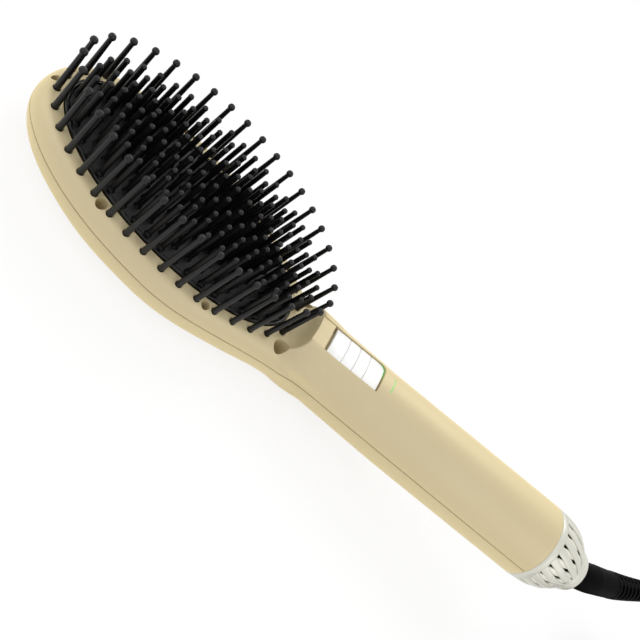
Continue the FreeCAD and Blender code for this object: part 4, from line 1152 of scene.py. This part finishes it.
def key_cap(index):
    """A key with a crowned top, rounded edges and a stem; the last has a round corner."""
    start, end = KEY_ENDS[index] + sizes().key_gap / 2, KEY_ENDS[index + 1] - sizes().key_gap / 2
    corner = KEY_CORNER if index == 3 else 0.0
    bend = KEY_HALF - corner * (1 - np.sin(np.radians(np.arange(0, 91, 10))))
    side = np.unique(np.round(np.concatenate([np.linspace(-KEY_HALF, KEY_HALF, 25), bend]), 8))
    crown = sizes().key_crown
    radius = (KEY_HALF ** 2 + crown ** 2) / (2 * crown)
    rows = [(y, start, end - corner_pull(y, KEY_HALF, corner), KEY_LOW,
             KEY_EDGE + crown - radius + math.sqrt(radius ** 2 - y ** 2)) for y in side]
    cap = bevel(crosswise("cap", rows), 0.32 * MM, 50.0)
    stem = peg("stem", 1.4 * MM, 2.1 * MM, from_handle([key_stations()[index], 0, 13.5 * MM]),
               HANDLE_UP, 16)
    return shade(joined(f"push_key_{index + 1}", [cap, stem]), 35.0)


def slit_light():
    """The blade of the light guide, just under the handle's surface, on its foot."""
    half = SLIT_HALF_WIDTH - 0.02 * MM
    reach = SLIT_HALF_LENGTH - 0.05 * MM
    rows = []
    for y in np.linspace(-reach, reach, 13):
        top = grip_top(SLIT_STATION) * math.sqrt(1 - (y / grip_half_width(SLIT_STATION)) ** 2)
        rows.append((y, SLIT_STATION - half, SLIT_STATION + half, 12.6 * MM, top - 0.05 * MM))
    foot = crosswise("foot", [(y, SLIT_STATION - 0.9 * MM, SLIT_STATION + 0.9 * MM, 12.0 * MM,
                               12.7 * MM) for y in (-4.6 * MM, 4.6 * MM)])
    return joined("lit_slit", [crosswise("blade", rows), foot])


def row_light():
    """A thin lit strip on the tail wall of the key recess, round its corner."""
    rows = []
    for y in np.linspace(0.8, 6.9, 19) * MM:
        start = RECESS_END + 0.08 * MM - corner_pull(y, KEY_HALF, KEY_CORNER)
        rows.append((y, start, start + 0.5 * MM, TRACK_FLOOR, 16.5 * MM))
    return crosswise("key_row_glow", rows)


def sleeve():
    """Strain relief: a smooth collar, then rings of slots towards its end."""
    start, turn, _, away = sleeve_line()
    ahead = (turn - start) / np.linalg.norm(turn - start)
    first, last = turn - ahead * SLEEVE_BEND, turn + away * SLEEVE_BEND
    lead = np.linalg.norm(first - start)
    spots, directions, reach = [], [], []
    for share in np.linspace(0, 1, 8, endpoint=False):
        spots.append(start + (first - start) * share)
        directions.append(ahead)
        reach.append(-lead * (1 - share) - SLEEVE_BEND)
    for share in np.linspace(0, 1, 14, endpoint=False):
        spots.append(first * (1 - share) ** 2 + turn * 2 * share * (1 - share) + last * share ** 2)
        directions.append(ahead * (1 - share) + away * share)
        reach.append((2 * share - 1) * SLEEVE_BEND)
    for along in [*np.arange(SLEEVE_BEND, SLEEVE_LENGTH, 0.28 * MM), SLEEVE_LENGTH]:
        sag = math.sin(math.pi * (along - SLEEVE_BEND) / (SLEEVE_LENGTH - SLEEVE_BEND))
        spots.append(turn + away * along - np.array([0, 0.5, 0.9]) * MM * sag)
        directions.append(away)
        reach.append(along)
    reach = np.array(reach)
    profile = np.array([(-6, 6.6), (0, 6.75), (10, 6.7), (30, 6.1), (52.5, 4.8), (53.6, 4.5),
                        (54, 4.1)]) * MM
    wide = np.interp(reach, profile[:, 0], profile[:, 1])
    sides = 96
    loops = tube_loops(np.array(spots), np.array(directions), np.ones(len(spots)), sides)
    turns = 360.0 * np.arange(sides) / sides
    within = smoothstep(34.0, 29.0, np.abs(turns % 90.0 - 45.0))
    slots, lips = np.zeros(len(reach)), np.zeros(len(reach))
    for number in range(SLOT_ROWS + 1):
        off_lip = np.abs(reach - SLOT_START - SLOT_PITCH * (number - 0.5))
        lips += smoothstep(1.3 * MM, 0.9 * MM, off_lip)
    for number in range(SLOT_ROWS):
        off_slot = np.abs(reach - SLOT_START - SLOT_PITCH * number)
        slots = np.maximum(slots, smoothstep(0.95 * MM, 0.6 * MM, off_slot))
    radius = (wide + 0.18 * MM * lips)[:, None] - 1.5 * MM * np.outer(slots, within)
    centre = np.array(spots)[:, None, :]
    return loft("cord_sleeve", centre + (loops - centre) * radius[..., None])


# ---------------------------------------------------------------- operators
class PlaceCamera(bpy.types.Operator):
    """Set the camera that looks down along the brush from beside its head"""
    bl_idname = "brush.place_camera"
    bl_label = "Camera"
    bl_options = {"REGISTER", "UNDO"}

    def execute(self, context):
        data = bpy.data.cameras.new("camera")
        data.sensor_width = 36.0
        data.lens = 37.2954
        data.clip_start = 0.01
        data.clip_end = 50.0
        camera = bpy.data.objects.new("camera", data)
        right = Vector((0.635651, 0.351631, 0.687243))
        down = Vector((0.713277, -0.608021, -0.348634))
        view = Vector((0.295268, 0.711805, -0.637300))
        turned = Matrix((right, -down, -view)).transposed().to_4x4()
        camera.matrix_world = Matrix.Translation((-0.09466, -0.18341, 0.20007)) @ turned
        context.scene.collection.objects.link(camera)
        context.scene.camera = camera
        return {"FINISHED"}


class MakeCord(bpy.types.Operator):
    """Lay the mains cord from the strain relief into its put-away coil"""
    bl_idname = "brush.make_cord"
    bl_label = "Mains cord"
    bl_options = {"REGISTER", "UNDO"}

    def execute(self, context):
        cord = cord_curve()
        dress(cord, soft_rubber(), "cord_tube", "cord_coil", slot="rubber_black")
        return {"FINISHED"}


class MakeSleeve(bpy.types.Operator):
    """Make the tapered strain relief with its slots"""
    bl_idname = "brush.make_sleeve"
    bl_label = "Strain relief"
    bl_options = {"REGISTER", "UNDO"}

    def execute(self, context):
        piece = shade(sleeve(), 50.0)
        dress(piece, soft_rubber(), "strain_relief", slot="rubber_black")
        return {"FINISHED"}


class MakeShells(bpy.types.Operator):
    """Make the two shells of the housing with their openings, recess and wells"""
    bl_idname = "brush.make_shells"
    bl_label = "Shells"
    bl_options = {"REGISTER", "UNDO"}

    def execute(self, context):
        dress(shade(front_shell(), 42.0), gold_paint_with_sheen(), "front_shell", slot="shell_gold")
        dress(shade(back_shell(), 42.0), gold_paint_with_sheen(), "back_shell", slot="shell_gold")
        return {"FINISHED"}


class MakeBristles(bpy.types.Operator):
    """Make the rim comb, the plate with its inner bristles and the frame round it"""
    bl_idname = "brush.make_bristles"
    bl_label = "Bristles"
    bl_options = {"REGISTER", "UNDO"}

    def execute(self, context):
        size = sizes()
        nylon = bristle_nylon()
        foot = 3.0 * MM
        pins = pin_field("rim_pins", rim_pin_places(), -foot, 0.0, nylon, Foot_radius=size.rim_pin,
                         Neck_radius=size.rim_neck, Ball_radius=size.rim_ball, Collar_radius=size.rim_pin,
                         Collar_height=foot, Sides=18)
        low, high = RIM_UNDERSIDE - 1.6 * MM, RIM_UNDERSIDE - 0.05 * MM
        ring = egg_ring("ring", [(-1.5 * MM, low), (1.5 * MM, low), (1.5 * MM, high),
                                 (-1.5 * MM, high)])
        cut(ring, [well_pegs("gaps", 1.6 * MM, 9 * MM, 7 * MM, 20)])
        dress(shade(joined("rim_bristles", [pins, ring]), 60.0), nylon, "rim_comb",
              slot="bristle_black")
        inner = pin_field("inner_pins", core_pin_places(), PLATE_TOP - 0.2 * MM, CORE_DROP, nylon,
                          Foot_radius=size.core_pin, Neck_radius=size.core_neck, Ball_radius=size.core_ball,
                          Collar_radius=size.core_collar, Collar_height=1.4 * MM, Sides=10)
        inset = OPENING + 1.7 * MM
        plate = egg_block("plate", [(inset, -1.0 * MM), (inset, 0.1 * MM), (inset + 0.1 * MM, 0.3 * MM),
                                    (inset + 0.35 * MM, PLATE_TOP)])
        dress(shade(joined("inner_bristles", [inner, plate]), 60.0), nylon, "core_bristles",
              slot="bristle_black")
        edge = OPENING + 0.15 * MM
        section = [(0, -2.0), (0, 0.55), (0.1, 0.78), (0.35, 0.9), (1.05, 0.9), (1.3, 0.78),
                   (1.4, 0.55), (1.4, -1.05), (4.3, -1.05), (4.3, -2.0)]
        band = egg_ring("bristle_frame", [(edge + inset * MM, height * MM)
                                          for inset, height in section])
        dress(shade(band, 60.0), plate_coating(), "plate_frame", slot="plate_black")
        return {"FINISHED"}


class MakeKeys(bpy.types.Operator):
    """Make the four push keys, each on its own sliding body"""
    bl_idname = "brush.make_keys"
    bl_label = "Keys"
    bl_options = {"REGISTER", "UNDO"}

    def execute(self, context):
        for index in range(4):
            name = f"key_{index + 1}"
            dress(key_cap(index), key_plastic(), name, body=name, slot="key_white")
        return {"FINISHED"}


class MakeLights(bpy.types.Operator):
    """Light the thin slit and the glow at the tail end of the key row"""
    bl_idname = "brush.make_lights"
    bl_label = "Lights in the handle"
    bl_options = {"REGISTER", "UNDO"}

    def execute(self, context):
        dress(shade(slit_light()), glowing("slit_glow", colours().slit, 0.5), "light_guide",
              slot="light_green")
        dress(shade(row_light()), glowing("row_glow", colours().light, 0.8), slot="light_green")
        return {"FINISHED"}


class MakeTailCap(bpy.types.Operator):
    """Weave the tail cap from two families of slanted ribs between two rings"""
    bl_idname = "brush.make_tail_cap"
    bl_label = "Tail cap"
    bl_options = {"REGISTER", "UNDO"}

    def execute(self, context):
        thick = sizes().rib_thickness
        first = SHELL_END + 3.45 * MM
        last = SHELL_END + CAP_WAIST * (CAP_END - SHELL_END)
        start, end = SHELL_END + 0.15 * MM, CAP_END - 2.7 * MM
        wide_ring = cap_band("wide_ring", [(start + 0.2 * MM, 0.0), (first - 0.1 * MM, 0.0),
                                           (first, 0.1 * MM), (first, 2.4 * MM), (start, 2.4 * MM),
                                           (start, 0.2 * MM)])
        steps = np.linspace(last + 0.3 * MM, CAP_END - 0.5 * MM, 6)
        end_ring = cap_band("end_ring", [(station, 0.0) for station in steps] + [
            (CAP_END - 0.15 * MM, 0.1 * MM), (CAP_END, 0.5 * MM), (CAP_END, 2.7 * MM),
            (end, 3.4 * MM), (end, 1.95 * MM), (last, 2.15 * MM), (last, 0.2 * MM)])
        rib = one_rib("outer_rib", 1, 0.04 * MM, thick, first - 0.6 * MM, last + 0.6 * MM)
        self.weave("woven_cap", rib, [wide_ring, end_ring], silver_paint(), "tail_cap")
        drop = thick + 0.06 * MM
        hoop = cap_band("hoop", [(last - back * MM, drop + down * MM) for back, down in (
            (1.3, 0.1), (0.1, 0.1), (0.1, 1.0), (1.3, 1.0))])
        rib = one_rib("inner_rib", -1, drop, thick, first + 0.1 * MM, last - 0.3 * MM)
        self.weave("woven_basket", rib, [hoop], basket_paint(), "tail_basket")
        return {"FINISHED"}

    def weave(self, name, rib, rings, paint, node):
        """Repeat a rib round the cap, join it with its rings and set it on the handle."""
        ribs = run_tree(rib, rib_ring_tree(), Count=RIB_COUNT, Finish=paint)
        piece = joined(name, [ribs] + rings)
        piece.data.transform(HANDLE_MATRIX)
        dress(shade(piece, 50.0), paint, node, slot="cap_silver")


class FinishInsides(bpy.types.Operator):
    """Give every piece that keeps its solid shape a finish of its own"""
    bl_idname = "brush.finish_insides"
    bl_label = "Inside pieces"
    bl_options = {"REGISTER", "UNDO"}

    def execute(self, context):
        wanted = {name: inside_finish(kind) for kind, names in INSIDE_NODES.items() for name in names}
        wanted["filler_plug"] = soft_rubber()
        wanted["plug_body"] = soft_rubber()
        for name, material in wanted.items():
            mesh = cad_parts[name].data
            mesh.materials.clear()
            mesh.materials.append(material)
        return {"FINISHED"}


def background_seen(wires):
    """1 for rays that look at the background, straight or through a mirror or glass."""
    path = wires.add("ShaderNodeLightPath")
    seen = wires.math("MAXIMUM", path.outputs["Is Camera Ray"], path.outputs["Is Glossy Ray"])
    return wires.math("MAXIMUM", seen, path.outputs["Is Transmission Ray"])


class SetStage(bpy.types.Operator):
    """Set the white floor, the lamps and the world"""
    bl_idname = "brush.set_stage"
    bl_label = "Stage"
    bl_options = {"REGISTER", "UNDO"}

    def execute(self, context):
        self.lay_floor()
        self.light_world(context)
        for name, place, width, power in LAMPS:
            data = bpy.data.lights.new(name, "AREA")
            data.shape = "DISK"
            data.size = width
            data.energy = power
            lamp = bpy.data.objects.new(name, data)
            lamp.location = place
            lamp.rotation_mode = "QUATERNION"
            lamp.rotation_quaternion = (-Vector(place)).to_track_quat("-Z", "Y")
            context.scene.collection.objects.link(lamp)
        return {"FINISHED"}

    def lay_floor(self):
        """A floor that glows white to the camera and still takes shadows."""
        floor = mesh_piece("floor", [(x * FLOOR_HALF, y * FLOOR_HALF, -0.4 * MM) for x, y in (
            (-1, -1), (1, -1), (1, 1), (-1, 1))], [[0, 1, 2, 3]])
        material = bpy.data.materials.new("floor_white")
        wires = blank_tree(material)
        matte = wires.add("ShaderNodeBsdfDiffuse", Color=tuple(colours().floor))
        glow = wires.add("ShaderNodeEmission", Color=(1, 1, 1, 1), Strength=1.0)
        share = wires.math("MULTIPLY", background_seen(wires), FLOOR_GLOW)
        mixed = wires.add("ShaderNodeMixShader", i0=share, i1=matte.outputs[0], i2=glow.outputs[0])
        wires.add("ShaderNodeOutputMaterial", Surface=mixed.outputs[0])
        floor.data.materials.append(material)

    def light_world(self, context):
        """A world that is white to the camera and a little dimmer to the brush."""
        world = bpy.data.worlds.new("studio")
        context.scene.world = world
        wires = blank_tree(world)
        strength = wires.math("MULTIPLY_ADD", background_seen(wires), 1 - WORLD_LIGHT, WORLD_LIGHT)
        sky = wires.add("ShaderNodeBackground", Color=(1, 1, 1, 1), Strength=strength)
        wires.add("ShaderNodeOutputWorld", Surface=sky.outputs[0])


STEPS = (PlaceCamera, MakeCord, MakeSleeve, MakeShells, MakeBristles, MakeKeys, MakeLights,
         MakeTailCap, FinishInsides, SetStage)


class BrushPanel(bpy.types.Panel):
    """The steps and settings of the brush in the sidebar"""
    bl_idname = "VIEW3D_PT_steam_brush"
    bl_label = "Steam brush"
    bl_space_type = "VIEW_3D"
    bl_region_type = "UI"
    bl_category = "Brush"

    def draw(self, context):
        for step in STEPS:
            self.layout.operator(step.bl_idname)
        for group in (context.scene.brush_sizes, context.scene.brush_colours):
            for key in group.__annotations__:
                self.layout.prop(group, key)


CLASSES = (BrushSizes, BrushColours) + STEPS + (BrushPanel,)


def register():
    for item in CLASSES:
        bpy.utils.register_class(item)
    bpy.types.Scene.brush_sizes = bpy.props.PointerProperty(type=BrushSizes)
    bpy.types.Scene.brush_colours = bpy.props.PointerProperty(type=BrushColours)


def unregister():
    del bpy.types.Scene.brush_colours
    del bpy.types.Scene.brush_sizes
    for item in reversed(CLASSES):
        bpy.utils.unregister_class(item)


def main():
    register()
    bpy.context.scene.view_settings.view_transform = "Standard"
    for step in STEPS:
        family, name = step.bl_idname.split(".")
        getattr(getattr(bpy.ops, family), name)()
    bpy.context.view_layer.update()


if __name__ == "__main__":
    main()
